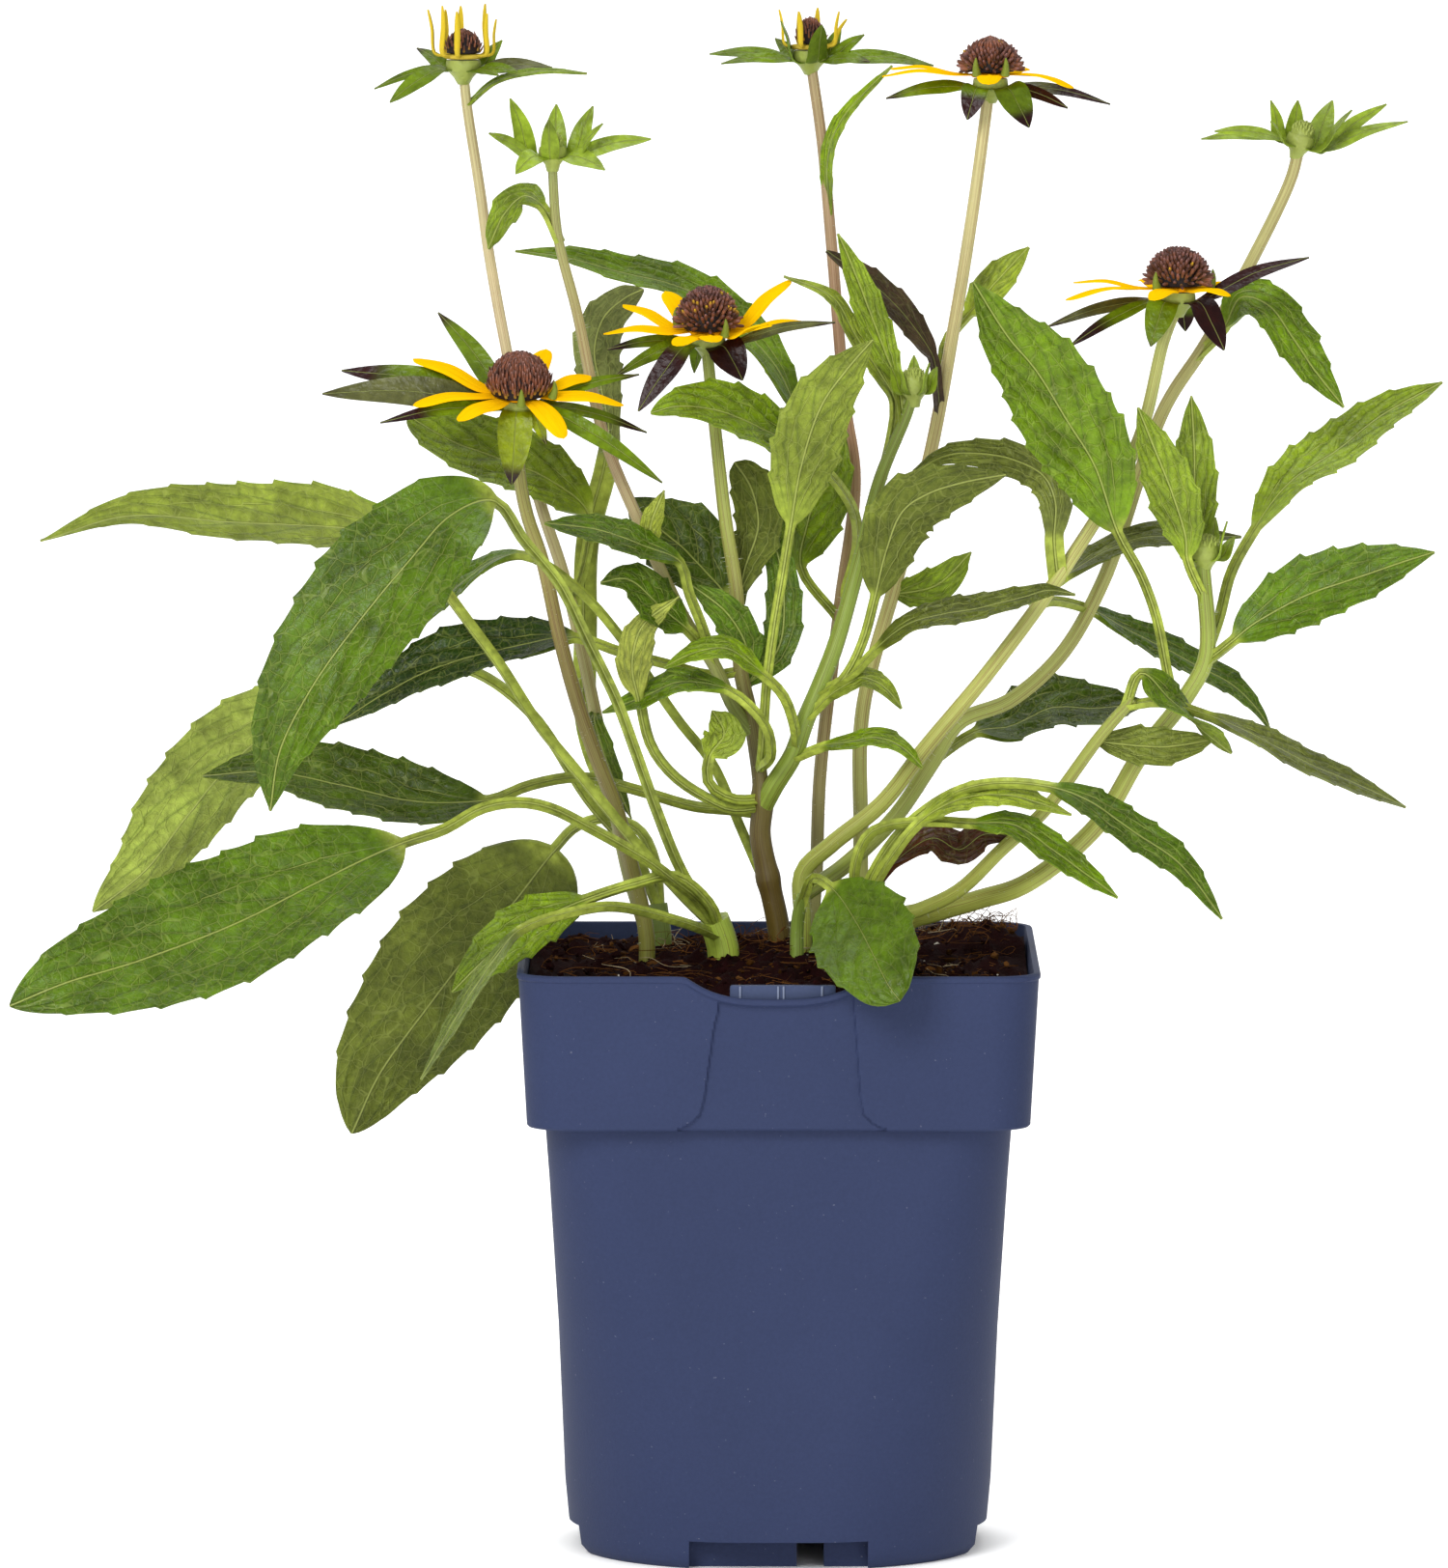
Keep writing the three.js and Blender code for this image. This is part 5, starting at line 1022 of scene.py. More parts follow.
for node, names in NODE_STEMS.items():
    skins = Skins()
    for name in names:
        add_stem(skins, name)
    skins.piece(node + "_stems", STEM, node, "leaf")

# %% [markdown]
# ## Heads: bracts, rays and cones
# Under each flower sits a green cup with narrow leaves, the bracts. Above it a ring of yellow rays spreads,
# and a dark cone of tiny florets stands in the middle. Each head is worked out in its own upright frame and
# then leaned as its stem holds it.

# %% The frame of a head and the paths from it
RAY_OUTLINE = (0.6, 0.45)
BRACT_OUTLINE = (0.5, 0.8)
RAY_LOW, RAY_HIGH = 0.3, 1.5
CONE_FOOT = 1.8


def head_frame(head):
    """The turn to the right about Y, then the turn to the viewer about X, and the head's middle."""
    right, front = (math.radians(a) for a in head["lean"])
    about_y = np.array([[math.cos(right), 0, math.sin(right)], [0, 1, 0],
                        [-math.sin(right), 0, math.cos(right)]])
    about_x = np.array([[1, 0, 0], [0, math.cos(front), -math.sin(front)],
                        [0, math.sin(front), math.cos(front)]])
    return about_x @ about_y, seen(head["at"])[0]


def head_axis(head):
    return head_frame(head)[0][:, 2]


def placed(points, head):
    turn, middle = head_frame(head)
    return points @ turn.T + middle


def head_path(head, reach, start, clear, arch):
    """From inside the head, level to where it clears its neighbours, then in a low arch to its tip."""
    turn, middle = head_frame(head)
    tip = (seen(np.add(head["at"], reach))[0] - middle) @ turn
    flat = unit(np.array([tip[0], tip[1], 0.0]))
    first = flat * start[0] + (0, 0, start[1])
    second = flat * clear[0] + (0, 0, clear[1])
    third = (second + tip) / 2 + (0, 0, arch * np.linalg.norm(tip - second))
    return placed(np.array([first, second, third, tip]), head)


def strip_rings(points, facing, width, base, outline, thick, rows=26, across=9, grooves=0.0, cup=0.0, curl=0.0,
                roll=0.0):
    """A thin strip whose width stands square to the plane of its path and the head's axis, or rolls away from
    that along the strip: its top dips between low ridges and cups at the edges."""
    x = np.linspace(0, 1, rows)
    place, way, length = walk(points, x)
    side = np.broadcast_to(unit(np.cross(facing, points[-1] - points[0])), way.shape)
    normal = np.cross(way, side)
    angle = (roll * smooth(x, 0.0, 0.45))[:, None]
    side, normal = side * np.cos(angle) + normal * np.sin(angle), normal * np.cos(angle) - side * np.sin(angle)
    half = np.maximum.reduce([width / 2 * outline_at(x, *outline), base / 2 * (1 - x), np.full(rows, 0.22)])
    k = np.linspace(-1, 1, across)
    lift = (grooves * np.cos(3 * math.pi * k) * np.sin(math.pi * x)[:, None] + cup * k**2 * half[:, None]
            + curl * np.sin(math.pi * x * 1.5)[:, None] * k * half[:, None])
    centre = place[:, None] + side[:, None] * (half[:, None] * k)[..., None]
    body = thick / 2 * (1 - 0.6 * k**2) * np.ones((rows, 1))
    top = centre + normal[:, None] * (lift + body)[..., None]
    under = centre + normal[:, None] * (lift - body)[..., None]
    return np.concatenate([top, under[:, ::-1]], 1), x, k, half, length


def lathe_rings(profile, sides):
    """Rings of a profile of radius and height, turned about the upright axis."""
    profile = np.asarray(profile, float)
    angle = 2 * math.pi * np.arange(sides) / sides
    x = np.outer(profile[:, 0], np.cos(angle))
    y = np.outer(profile[:, 0], np.sin(angle))
    return np.stack([x, y, np.broadcast_to(profile[:, 1:], x.shape)], -1)

# %% [markdown]
# Rays are yellow with fine lengthwise streaks, a little deeper in colour towards the cone. Bracts are green,
# and on the older heads their tips have turned dark purple-brown.

# %% Ray and bract finishes
def ray_material(name, inner, outer):
    """Yellow that goes from one direct colour at the cone to another further out."""
    material, tree, shader = new_material(name)
    blade = mark(tree, "blade")
    ramp = tree.nodes.new("ShaderNodeValToRGB")
    ramp.color_ramp.elements[0].color, ramp.color_ramp.elements[1].color = tuple(inner), tuple(outer)
    ramp.color_ramp.elements[1].position = 0.45
    fill(ramp, i0=blade.split()[0])
    streak = add(tree, "Group", node_tree=STREAKS, Vector=blade, Stretch=(0.8, 4.0, 3.0), Scale=4.0, Detail=3.0,
                 Roughness=0.5)
    fill(shader, Base_Color=scaled(Output(ramp.outputs[0]), (streak - 0.5) * 0.5 + 1.0), Roughness=0.55,
         Specular_IOR_Level=0.0, Normal=grain(tree, 1200.0, 0.00012, streak, 0.6))
    return material


RAY = ray_material("ray_yellow", tint(250, 172, 2) * (1.15, 1.1, 1, 1), tint(255, 206, 2) * (1.3, 1.2, 1, 1))
QUILL = ray_material("quill_yellow", tint(222, 196, 84), tint(238, 208, 70))

# %% Rays
RAY_MIDDLE = (RAY_LOW + RAY_HIGH) / 2
DISC = [(1, RAY_LOW), (4.6, RAY_LOW), (5, RAY_LOW + 0.3), (5, RAY_HIGH - 0.3), (4.6, RAY_HIGH), (1, RAY_HIGH)]

for name, head in HEADS.items():
    skins = Skins()
    width, radius = head["ray_width"], head["cone"][0] / 2
    quill = width < 3
    skins.add(placed(lathe_rings(DISC, 24), head), blade=(0, 0, 0))
    for number, ray in enumerate(head["rays"]):
        outside = min(radius + 2.4, math.hypot(ray[0], ray[2])) if quill else radius + 1.4
        path = head_path(head, ray, (3, RAY_MIDDLE), (outside, RAY_MIDDLE + (0.6 if quill else 0.3)), 0.07)
        rings, x, k, half, length = strip_rings(
            path, head_axis(head), width, min(2.4, width), RAY_OUTLINE, 0.5 if quill else 0.4, rows=34,
            grooves=0.0 if quill else 0.16, cup=0.5 if quill else -0.06, curl=0.12 * math.sin(2.1 * number))
        skins.add(rings, blade=spread(rings, x[:, None], both_faces(k)[0], number * 1.7))
    skins.piece(name + "_petals", QUILL if quill else RAY, name + "_rays", "ray")

# %% Bracts, cups and buds
BURNT = tint(60, 40, 42)
BRACT_TINTS = {"green": (114, 138, 44), "fresh": (152, 176, 62), "yellow": (152, 168, 42),
               "grey": (104, 106, 66)}
BRACT_HUES = {("flower_left", 4): "yellow", ("flower_left", 9): "yellow", ("flower_left", 2): "grey",
              ("flower_middle", 0): "grey", ("flower_far_right", 0): "grey", ("flower_far_right", 4): "grey",
              ("flower_right", 4): "grey", ("flower_opening_left", 5): "grey"}
CUP_GREEN = tint(132, 152, 60)
BUD_GREEN = tint(140, 162, 60)
SCALE_GREEN = tint(158, 180, 70)
BUD_SCALES = 46
BRACT_ROLL = 0.75
PLAIN = {"blade": (0.5, 0, 0), "size": (20, 2, 0)}


def add_cup(skins, head):
    """The green cup under a head, turned on a lathe."""
    r = head["green"]
    profile = [(0.8, -6.5), (1.5, -6.4), (0.55 * r, -4.6), (0.85 * r, -3.1), (r, -2.2), (r, -0.9),
               (0.95 * r, 0), (0.5, 0)]
    skins.add(placed(lathe_rings(profile, 24), head), hue=CUP_GREEN, **PLAIN)


def add_bracts(skins, head, name=None):
    """The bracts of a head, rolled so that their faces show, with burnt tips on the older heads."""
    for number, bract in enumerate(head["bracts"]):
        width = bract[3] if len(bract) > 3 else BRACT_WIDE
        level = math.hypot(bract[0], bract[2])
        path = head_path(head, bract[:3], (1.5, -3.4), (min(6.2, 0.6 * level), -2.4), 0.05)
        rings, x, k, half, length = strip_rings(
            path, head_axis(head), width, min(3, width), BRACT_OUTLINE, 0.5, rows=26, cup=0.12,
            curl=0.1 * math.sin(1.7 * number), roll=BRACT_ROLL * bract[0] / max(level, 1))
        own = head["burn"][number] if name else 0.0
        dark = (smooth(x, 1 - 1.2 * own, 1.2 - 1.2 * own) if own else 0 * x)[:, None, None]
        look = BRACT_HUES.get((name, number), "green") if name else "fresh"
        green = tint(*BRACT_TINTS[look]) * (0.95 + 0.15 * math.sin(3.1 * number))
        hue = np.broadcast_to(green * (1 - dark) + BURNT * dark, (*rings.shape[:2], 4)).copy()
        hue[..., 3] = 1
        out, is_under = both_faces(k)
        skins.add(rings, hue=hue, blade=spread(rings, x[:, None], out, is_under),
                  size=spread(rings, length, 3 * half[:, None], 0.0))


def add_bud(skins, head):
    """A low dome with a spiral of small green scales on it."""
    r = head["bud"]
    dome = [(0.4, -2), (r, -1.8), (1.05 * r, 0.4), (0.92 * r, 1.6), (0.6 * r, 2.7), (0.2, 3.3)]
    skins.add(placed(lathe_rings(dome, 20), head), hue=BUD_GREEN, **PLAIN)
    share = (np.arange(BUD_SCALES) + 0.5) / BUD_SCALES
    for a, s in zip(golden_spiral(BUD_SCALES), share):
        out = r * math.sqrt(s) * 0.98 * np.array([math.cos(a), math.sin(a), 0])
        foot = out + (0, 0, 2.6 - 2.2 * s**1.5)
        peak = foot + 0.15 * out + (0, 0, 1.4)
        rings = tube_rings(placed(np.array([foot, (foot + peak) / 2, peak]), head),
                           lambda u: 0.42 * (1 - u**2) + 0.05, sides=6, step=0.4)[0]
        skins.add(rings, hue=SCALE_GREEN, **PLAIN)


for node in NODE_STEMS:
    skins = Skins()
    for name, head in HEADS.items():
        if head["node"] == node:
            add_cup(skins, head)
            add_bracts(skins, head, name)
    for bud in BUDS:
        if bud["node"] == node:
            add_cup(skins, bud)
            add_bracts(skins, bud)
            add_bud(skins, bud)
    if skins.count:
        skins.piece(node + "_bracts", LEAF, node, "leaf", sharp=60)

# %% [markdown]
# The cone is a dome packed with hundreds of small florets in a spiral, the golden angle apart. An open floret
# is a short tube that stands out from the dome, and a young one lies up along it like thatch. At the foot of
# the big cones the green tips of a few inner bracts stand up.

# %% Cones
def cone_material():
    material, tree, shader = new_material("cone_brown")
    fill(shader, Base_Color=patched(mark(tree, "hue", "Color"), 500.0, 0.6), Roughness=0.6,
         Specular_IOR_Level=0.3, Normal=grain(tree, 2500.0, 0.0001))
    return material


CONE = cone_material()
CONE_DARK = tint(52, 30, 24)
TUBE_FOOT = tint(186, 142, 84)
TUBE_BODY = tint(158, 104, 80)
# The pale mauve at an open floret's tip, here and for a young floret below, is partly the florets' own colour
# and partly a painted highlight.
TUBE_TIP = tint(150, 108, 104)
YOUNG_FOOT = tint(214, 168, 62)
YOUNG_BODY = tint(134, 84, 64)
YOUNG_TIP = tint(176, 132, 122)
POLLEN = tint(232, 184, 52)
OPEN_INSET = 2.5
UNDERCUT = 0.07
YOUNG_INSET = 1.3
DOME_TOP = 0.88
BIG_CONE = 12


def cone_profile(head, t):
    """Radius and height of the cone's dome, from its foot at t = 0 to its top at t = 1."""
    width, height = head["cone"][:2]
    point = head["cone"][2] if len(head["cone"]) > 2 else 0.03
    angle = (0.6 * t - UNDERCUT) * math.pi
    low = math.sin(UNDERCUT * math.pi)
    z = CONE_FOOT + height * ((np.sin(angle) + low) / (1 + low) + point * t**4)
    return width / 2 * np.maximum(np.cos(angle) * (1 - 0.1 * t), 0.12), z


def dome_frame(head, t, shrink):
    """A place on the dome, shrunk inwards, with the ways out of it and up along it, in the plane of radius and
    height."""
    r, z = cone_profile(head, np.array([t - 0.01, t, t + 0.01]))
    up = unit(np.array([r[2] - r[0], z[2] - z[0]]))
    out = np.array([up[1], -up[0]])
    return np.array([r[1], z[1]]) - out * shrink, out, up


def add_floret(skins, head, t, spin, is_open, size, tip):
    """A tube. An open one stands clear of the dome, out and up, and a young one lies up along it."""
    place, out, up = dome_frame(head, t, (OPEN_INSET if is_open else YOUNG_INSET) * size)
    if is_open:
        rise = unit(out * 0.9 + np.array([0, 0.1 + 0.65 * smooth(t, 0.0, 0.3)]) + rng.normal(0, 0.13, 2))
        long, wide = rng.uniform(2.3, 3.2) * (1 - 0.35 * t), 0.45 * size
        foot, body = TUBE_FOOT + (TUBE_BODY - TUBE_FOOT) * min(2 * t, 1), TUBE_BODY * (1 - 0.35 * t)
    else:
        rise = unit(up + out * (0.4 - 0.1 * t) + rng.normal(0, 0.08, 2))
        long, wide = rng.uniform(2.4, 3.8) * (1 - 0.6 * t), 0.36 * size
        foot, body = YOUNG_FOOT + (YOUNG_BODY - YOUNG_FOOT) * min(5 * t, 1), YOUNG_BODY
    steps = np.array([0, 0.5, 1.0])[:, None]
    bulge = steps**2 if is_open else steps * (1 - steps) * 2
    flat = place + rise * (long * size) * steps + out * (0.2 * size) * bulge
    turn = spin + rng.normal(0, 0.03)
    path = np.stack([flat[:, 0] * math.cos(turn), flat[:, 0] * math.sin(turn), flat[:, 1]], -1)

    def radius(v):
        """An open tube flares and closes at its tip, and a young one narrows."""
        return wide * (0.75 + 0.45 * v - 0.8 * v**7 if is_open else 1.15 - 0.85 * v**2)

    rings, u, _, _ = tube_rings(placed(path, head), radius, sides=6, step=0.55)
    foot, body = foot * rng.uniform(0.6, 1.2), body * rng.uniform(0.3, 1.5)
    hue = foot + (body - foot) * smooth(u, 0.1, 0.5)[:, None]
    hue = hue + (tip - hue) * smooth(u, 0.7, 0.95)[:, None]
    hue[:, 3] = 1
    skins.add(rings, hue=np.broadcast_to(hue[:, None], (*rings.shape[:2], 4)))


TIP_TURNS = {"flower_left": (-1.5, -0.35, 2.2), "flower_middle": (-1.07, 0.9, 2.6),
             "flower_right": (-2.0, -1.15, 1.4), "flower_far_right": (-2.2, 0.4, 1.8)}
TIP_GREEN = tint(138, 152, 58)


def add_bract_tip(skins, head, turn):
    """The green tip of an inner bract, which stands in front of the cone's foot."""
    out = head["cone"][0] / 2 + np.array([0.3, 1.0, 0.9])
    path = np.stack([out * math.cos(turn), out * math.sin(turn), CONE_FOOT + np.array([-0.6, 1.6, 4.0])], -1)
    rings = tube_rings(placed(path, head), lambda v: 0.1 + 1.1 * (1 - v) ** 0.7, sides=8, step=0.5)[0]
    skins.add(rings, hue=TIP_GREEN)


for name, head in HEADS.items():
    skins = Skins()
    opened, big = head["opened"], head["cone"][0] > BIG_CONE
    size = 1.0 if big else 0.7
    radius, z = cone_profile(head, np.linspace(0, DOME_TOP, 22))
    inset = (OPEN_INSET if opened else YOUNG_INSET) * size * 0.9
    radius = radius * (1 - inset / radius[0])
    z = CONE_FOOT + (z - CONE_FOOT) * (1 - inset / (z[-1] - CONE_FOOT))
    profile = np.stack([np.r_[0.3, radius, 0.2], np.r_[CONE_FOOT, z, z[-1] + 0.1]], -1)
    skins.add(placed(lathe_rings(profile, 32), head), hue=CONE_DARK)
    count = (330 if opened else 460) if big else 110
    share = 0.85 * ((np.arange(count) + 0.5) / count) ** 0.85
    pollen = set(rng.choice(np.arange(count // 6, 3 * count // 4), head["dusted"], replace=False).tolist())
    for n, (t, spin) in enumerate(zip(share, golden_spiral(count))):
        is_open = t < opened
        tip = POLLEN if n in pollen else (TUBE_TIP if is_open else YOUNG_TIP) * rng.uniform(0.15, 1.25)
        add_floret(skins, head, t, spin, is_open, size, tip)
    for turn in TIP_TURNS.get(name, ()):
        add_bract_tip(skins, head, turn)
    skins.piece(name + "_florets", CONE, name + "_cone", "cone")

# %% [markdown]
# ## The pot
# A thin-walled moulded pot is rounded square at the rim and nearly round at the foot. One closed skin makes it:
# rings run up the outside, over the rim and down the inside. A ring's corners are arcs whose radius grows
# towards the foot. The skirt, the pressed-in panel and the dipped lip are changes of the same rings.

# %% Rings of the pot
POT_HEIGHT = 155.0
RIM_HALF = 67.0
SKIRT_HALF = 64.5
SKIRT_FOOT = 115.0
BODY_HALF = 59.9
BASE_HALF = 52.2
WALL = 1.9
FLOOR_TOP = 9.4
FOOT_HEIGHT = 7.4
PANEL_RECESS = 1.0
DIP_MIDDLE = -1.5
DIP_LEFT = 22.2
DIP_RIGHT = 24.3
DIP_DEPTH = 5.8
BEAD_TALL = 2.3
BEAD_OUT = 0.45
ARC_STEPS = 22


def ring_columns(front=210, other=26):
    """How each point of a rounded square depends on the flat half (a) and the corner radius (c). The front has
    more points than the other sides."""
    a_x, a_y, c_x, c_y = [], [], [], []
    signs = [(1, 1), (-1, 1), (-1, -1), (1, -1)]
    for side in range(4):
        angle = (side + np.linspace(0, 1, ARC_STEPS)) * math.pi / 2
        sx, sy = signs[side]
        nx, ny = signs[(side + 1) % 4]
        count = front if side == 2 else other
        t = np.linspace(0, 1, count + 2)[1:-1]
        a_x += [np.full(ARC_STEPS, sx), sx + (nx - sx) * t]
        a_y += [np.full(ARC_STEPS, sy), sy + (ny - sy) * t]
        c_x += [np.cos(angle), np.full(count, np.cos(angle[-1]))]
        c_y += [np.sin(angle), np.full(count, np.sin(angle[-1]))]
    return tuple(np.concatenate(part) for part in (a_x, a_y, c_x, c_y))


COLUMNS = ring_columns()


def square_rings(rows):
    """Rings of a rounded square from rows of height, half width and corner radius."""
    z, half, corner = np.asarray(rows, float).T
    a = (half - corner)[:, None]
    c = corner[:, None]
    x = a * COLUMNS[0] + c * COLUMNS[2]
    y = a * COLUMNS[1] + c * COLUMNS[3]
    return np.stack([x, y, np.broadcast_to(z[:, None], x.shape)], -1)


def fill_rows(rows, step):
    """More rows between the given ones, on straight lines."""
    rows = np.asarray(rows, float)
    out = [rows[:1]]
    for low, high in zip(rows[:-1], rows[1:]):
        count = max(1, int(math.ceil(abs(high[0] - low[0]) / step)))
        out.append(low + (high - low) * (np.arange(1, count + 1) / count)[:, None])
    return np.vstack(out)


def panel_mask(x, z):
    """1 inside the pressed-in panel: a tall shape that widens downwards with rounded lower corners."""
    heights = [112, 115.6, 116.4, 117.6, 119.5, 124, 150, 155]
    left = np.interp(z, heights, [27, 25.6, 23.4, 21.6, 20.0, 18.9, 15.5, 15.2])
    right = np.interp(z, heights, [28, 27.2, 25.0, 23.2, 21.6, 20.8, 19.0, 18.8])
    return smooth(x, -left - 0.25, -left + 0.25) * (1 - smooth(x, right - 0.25, right + 0.25))


def dip_drop(x):
    """How far the rim is lowered at x: a shallow bowl, one minus the cube of the way out, that ends softly."""
    away = np.abs(x - DIP_MIDDLE) / np.where(x < DIP_MIDDLE, DIP_LEFT, DIP_RIGHT)
    bowl = DIP_DEPTH * (1 - away**3)
    return 0.5 * (bowl + np.sqrt(bowl**2 + 0.3)) * (1 - smooth(away, 1.05, 1.3))


def pot_skin():
    """Rows of height, half width and corner radius: under the floor, up the outside, over the lip and down the
    inside to the floor."""
    foot = [(0.0, 1.0, 1.0), (0.0, 20, 18), (0.0, 40, 36), (0.0, BASE_HALF - 0.6, 45.4)]
    outside = [(0.4, BASE_HALF, 45.8), (2.5, BASE_HALF + 1.6, 47), (18, BASE_HALF + 3, 46),
               (60, BODY_HALF - 3.2, 33), (100, BODY_HALF - 1, 21), (SKIRT_FOOT - 0.3, BODY_HALF, 17)]
    skirt = [(SKIRT_FOOT, SKIRT_HALF - 0.5, 11.6), (SKIRT_FOOT + 0.5, SKIRT_HALF, 12),
             (POT_HEIGHT - 1.9, RIM_HALF - 0.45, 12), (POT_HEIGHT - 1.5, RIM_HALF - 0.05, 12),
             (POT_HEIGHT - 0.6, RIM_HALF, 12)]
    lip = [(POT_HEIGHT - 0.15, RIM_HALF - 0.3, 12), (POT_HEIGHT, RIM_HALF - 0.8, 11.6),
           (POT_HEIGHT - 0.2, RIM_HALF - WALL + 0.2, 11)]
    inner_skirt = SKIRT_HALF - WALL
    inside = [(POT_HEIGHT - 1, RIM_HALF - WALL - 0.1, 10), (SKIRT_FOOT + 3.2, inner_skirt, 10),
              (SKIRT_FOOT + 1.5, BODY_HALF - 0.2 - WALL, 15), (100, BODY_HALF - 1 - WALL, 19),
              (60, BODY_HALF - 3.2 - WALL, 31), (18, BASE_HALF + 1.2, 43), (FLOOR_TOP, BASE_HALF + 0.2, 44)]
    floor = [(FLOOR_TOP, 30, 26), (FLOOR_TOP, 1.0, 1.0)]
    rows = np.vstack([foot, fill_rows(outside, 3.0), fill_rows(skirt, 0.5), lip, fill_rows(inside, 4.0), floor])
    return square_rings(rows)


def shape_front(rings):
    """Presses the panel in and lowers the lip at the front, where y is negative, with a bead under the dip."""
    x, y, z = (rings[..., i] for i in range(3))
    front = y < -40
    outer = front & (np.abs(y) > SKIRT_HALF - 1.2) & (z > SKIRT_FOOT - 0.1)
    below = smooth(POT_HEIGHT - z, BEAD_TALL - 0.5, BEAD_TALL + 0.3)
    bead = BEAD_OUT * (1 - below) * (1 - smooth(np.abs(x - DIP_MIDDLE), 21, 26))
    press = (PANEL_RECESS * panel_mask(x, z) * below - bead) * outer
    drop = dip_drop(x) * smooth(z, POT_HEIGHT - 16, POT_HEIGHT - 2.5) * front
    rings[..., 1] = y + press
    rings[..., 2] = z - drop
    return rings


plain_rings = pot_skin()
# lip: a painted highlight along the top edge of the rim, carried in the mark side.
lip = smooth(plain_rings[..., 2], POT_HEIGHT - 0.9, POT_HEIGHT - 0.3)
# corner: painted shade on the corner arcs, strongest halfway round each arc, where they turn away from the front
# light.
corner = smooth(np.abs(2 * COLUMNS[2] * COLUMNS[3]), 0.55, 1.0)
pot_skins = Skins()
pot_skins.add(shape_front(plain_rings), side=spread(plain_rings, corner, lip, 0.0))

# %% [markdown]
# The foot of the pot is notched on each side and has a slot right through and a drain pocket near each corner.
# Such cuts are easiest as boxes taken away with a Boolean modifier, which is then applied.

# %% Pot plastic and the cuts under the foot
# Painted highlight along the lip.
LIP_HIGHLIGHT = tuple(tint(112, 120, 150))
DUST_PALE = tuple(tint(150, 152, 168))
# Painted shade for the corner arcs.
CORNER_SHADE = (0.3, 0.42, 0.58, 1)
POT_SHARP = 35


def plastic_material(name, colour):
    """Dyed plastic, with painted shade where the mark side says that a corner turns away from the light, a
    painted highlight on the lip, and pale specks."""
    material, tree, shader = new_material(name)
    turned, lip, _ = mark(tree, "side").split()
    # Painted shade on the turned corners, then a painted highlight on the lip.
    body = mixed(lip, mixed(turned * 0.85, colour, colour * CORNER_SHADE), LIP_HIGHLIGHT)
    body = patched(patched(body, 14.0, 0.25), 1100.0, 0.25)
    dust = add(tree, "TexNoise", Scale=1000.0, Detail=1.0, Vector=here(tree))
    speck = add(tree, "MapRange", Value=dust, From_Min=0.765, From_Max=0.8, To_Max=0.3)
    fill(shader, Base_Color=mixed(speck, body, DUST_PALE), Roughness=0.62, Specular_IOR_Level=0.12,
         Normal=grain(tree, 1500.0, 0.00006))
    return material


PLASTIC = plastic_material("pot_blue", tint(69, 77, 107))
BAND_PLASTIC = plastic_material("pot_band_blue", tint(84, 94, 124))
# The ribs are the same plastic as the pot, given a much paler copy of it as a painted highlight.
RIB_HIGHLIGHT_PLASTIC = plastic_material("pot_rib_highlight_blue", tint(140, 150, 176))
pot = pot_skins.piece("pot_body", PLASTIC, "pot", "pot", sharp=POT_SHARP)


def cutting_box(size, centre):
    """Eight corners of a box, as one mesh object that only cuts."""
    corners = np.array([[x, y, z] for x in (-0.5, 0.5) for y in (-0.5, 0.5) for z in (-0.5, 0.5)])
    faces = [(0, 1, 3, 2), (4, 6, 7, 5), (0, 4, 5, 1), (2, 3, 7, 6), (0, 2, 6, 4), (1, 5, 7, 3)]
    mesh = bpy.data.meshes.new("cutter")
    mesh.from_pydata(((corners * size + np.array(centre, float)) * MM).tolist(), [], faces)
    return show("cutter", mesh)


NOTCH_WIDTH = 46.0
NOTCH_DEPTH = 10.0
POCKET_AT = 23.5
tall = FOOT_HEIGHT + 4
middle = (FOOT_HEIGHT - 4) / 2
reach = 2 * BODY_HALF
notch = BASE_HALF + 3 - NOTCH_DEPTH + reach / 2
pockets = [(sx * POCKET_AT, sy * POCKET_AT) for sx in (-1, 1) for sy in (-1, 1)]
cuts = [((NOTCH_WIDTH, reach, tall), (0, way * notch, middle)) for way in (-1, 1)]
cuts += [((reach, NOTCH_WIDTH, tall), (way * notch, 0, middle)) for way in (-1, 1)]
cuts += [((7, reach, tall + 0.02), (8.2, 0, middle - 0.01))]
cuts += [((18, 18, tall + 0.04), (*place, middle - 0.02)) for place in pockets]
cuts += [((7, 7, 12), (*place, FLOOR_TOP)) for place in pockets]
cutters = [cutting_box(size, centre) for size, centre in cuts]
for cutter in cutters:
    cut = pot.modifiers.new("cut", "BOOLEAN")
    cut.operation, cut.solver, cut.object = "DIFFERENCE", "EXACT", cutter
bpy.context.view_layer.update()
whole = bpy.data.meshes.new_from_object(pot.evaluated_get(bpy.context.evaluated_depsgraph_get()))
pot.modifiers.clear()
pot.data = whole
whole.name = "pot_body"
whole.set_sharp_from_angle(angle=math.radians(POT_SHARP))
for cutter in cutters:
    bpy.data.objects.remove(cutter)
print("pot", len(pot.data.polygons), "faces after the cuts")

# %% [markdown]
# Behind the dipped lip a short band stands on the inside, with low ribs. It is a plain moulding, so a box with
# soft edges and a few slim ones do.

# %% Inner band
BAND_LEFT, BAND_RIGHT = -12.5, 14.5
BAND_FOOT, BAND_TOP = 141.0, 152.4
BAND_FACE, BAND_THICK = -64.6, 2.5
BAND_RIBS = (-9.9, -0.2, 1.2, 11.0)
RIB_SIZE = (0.5, 0.7, 8)


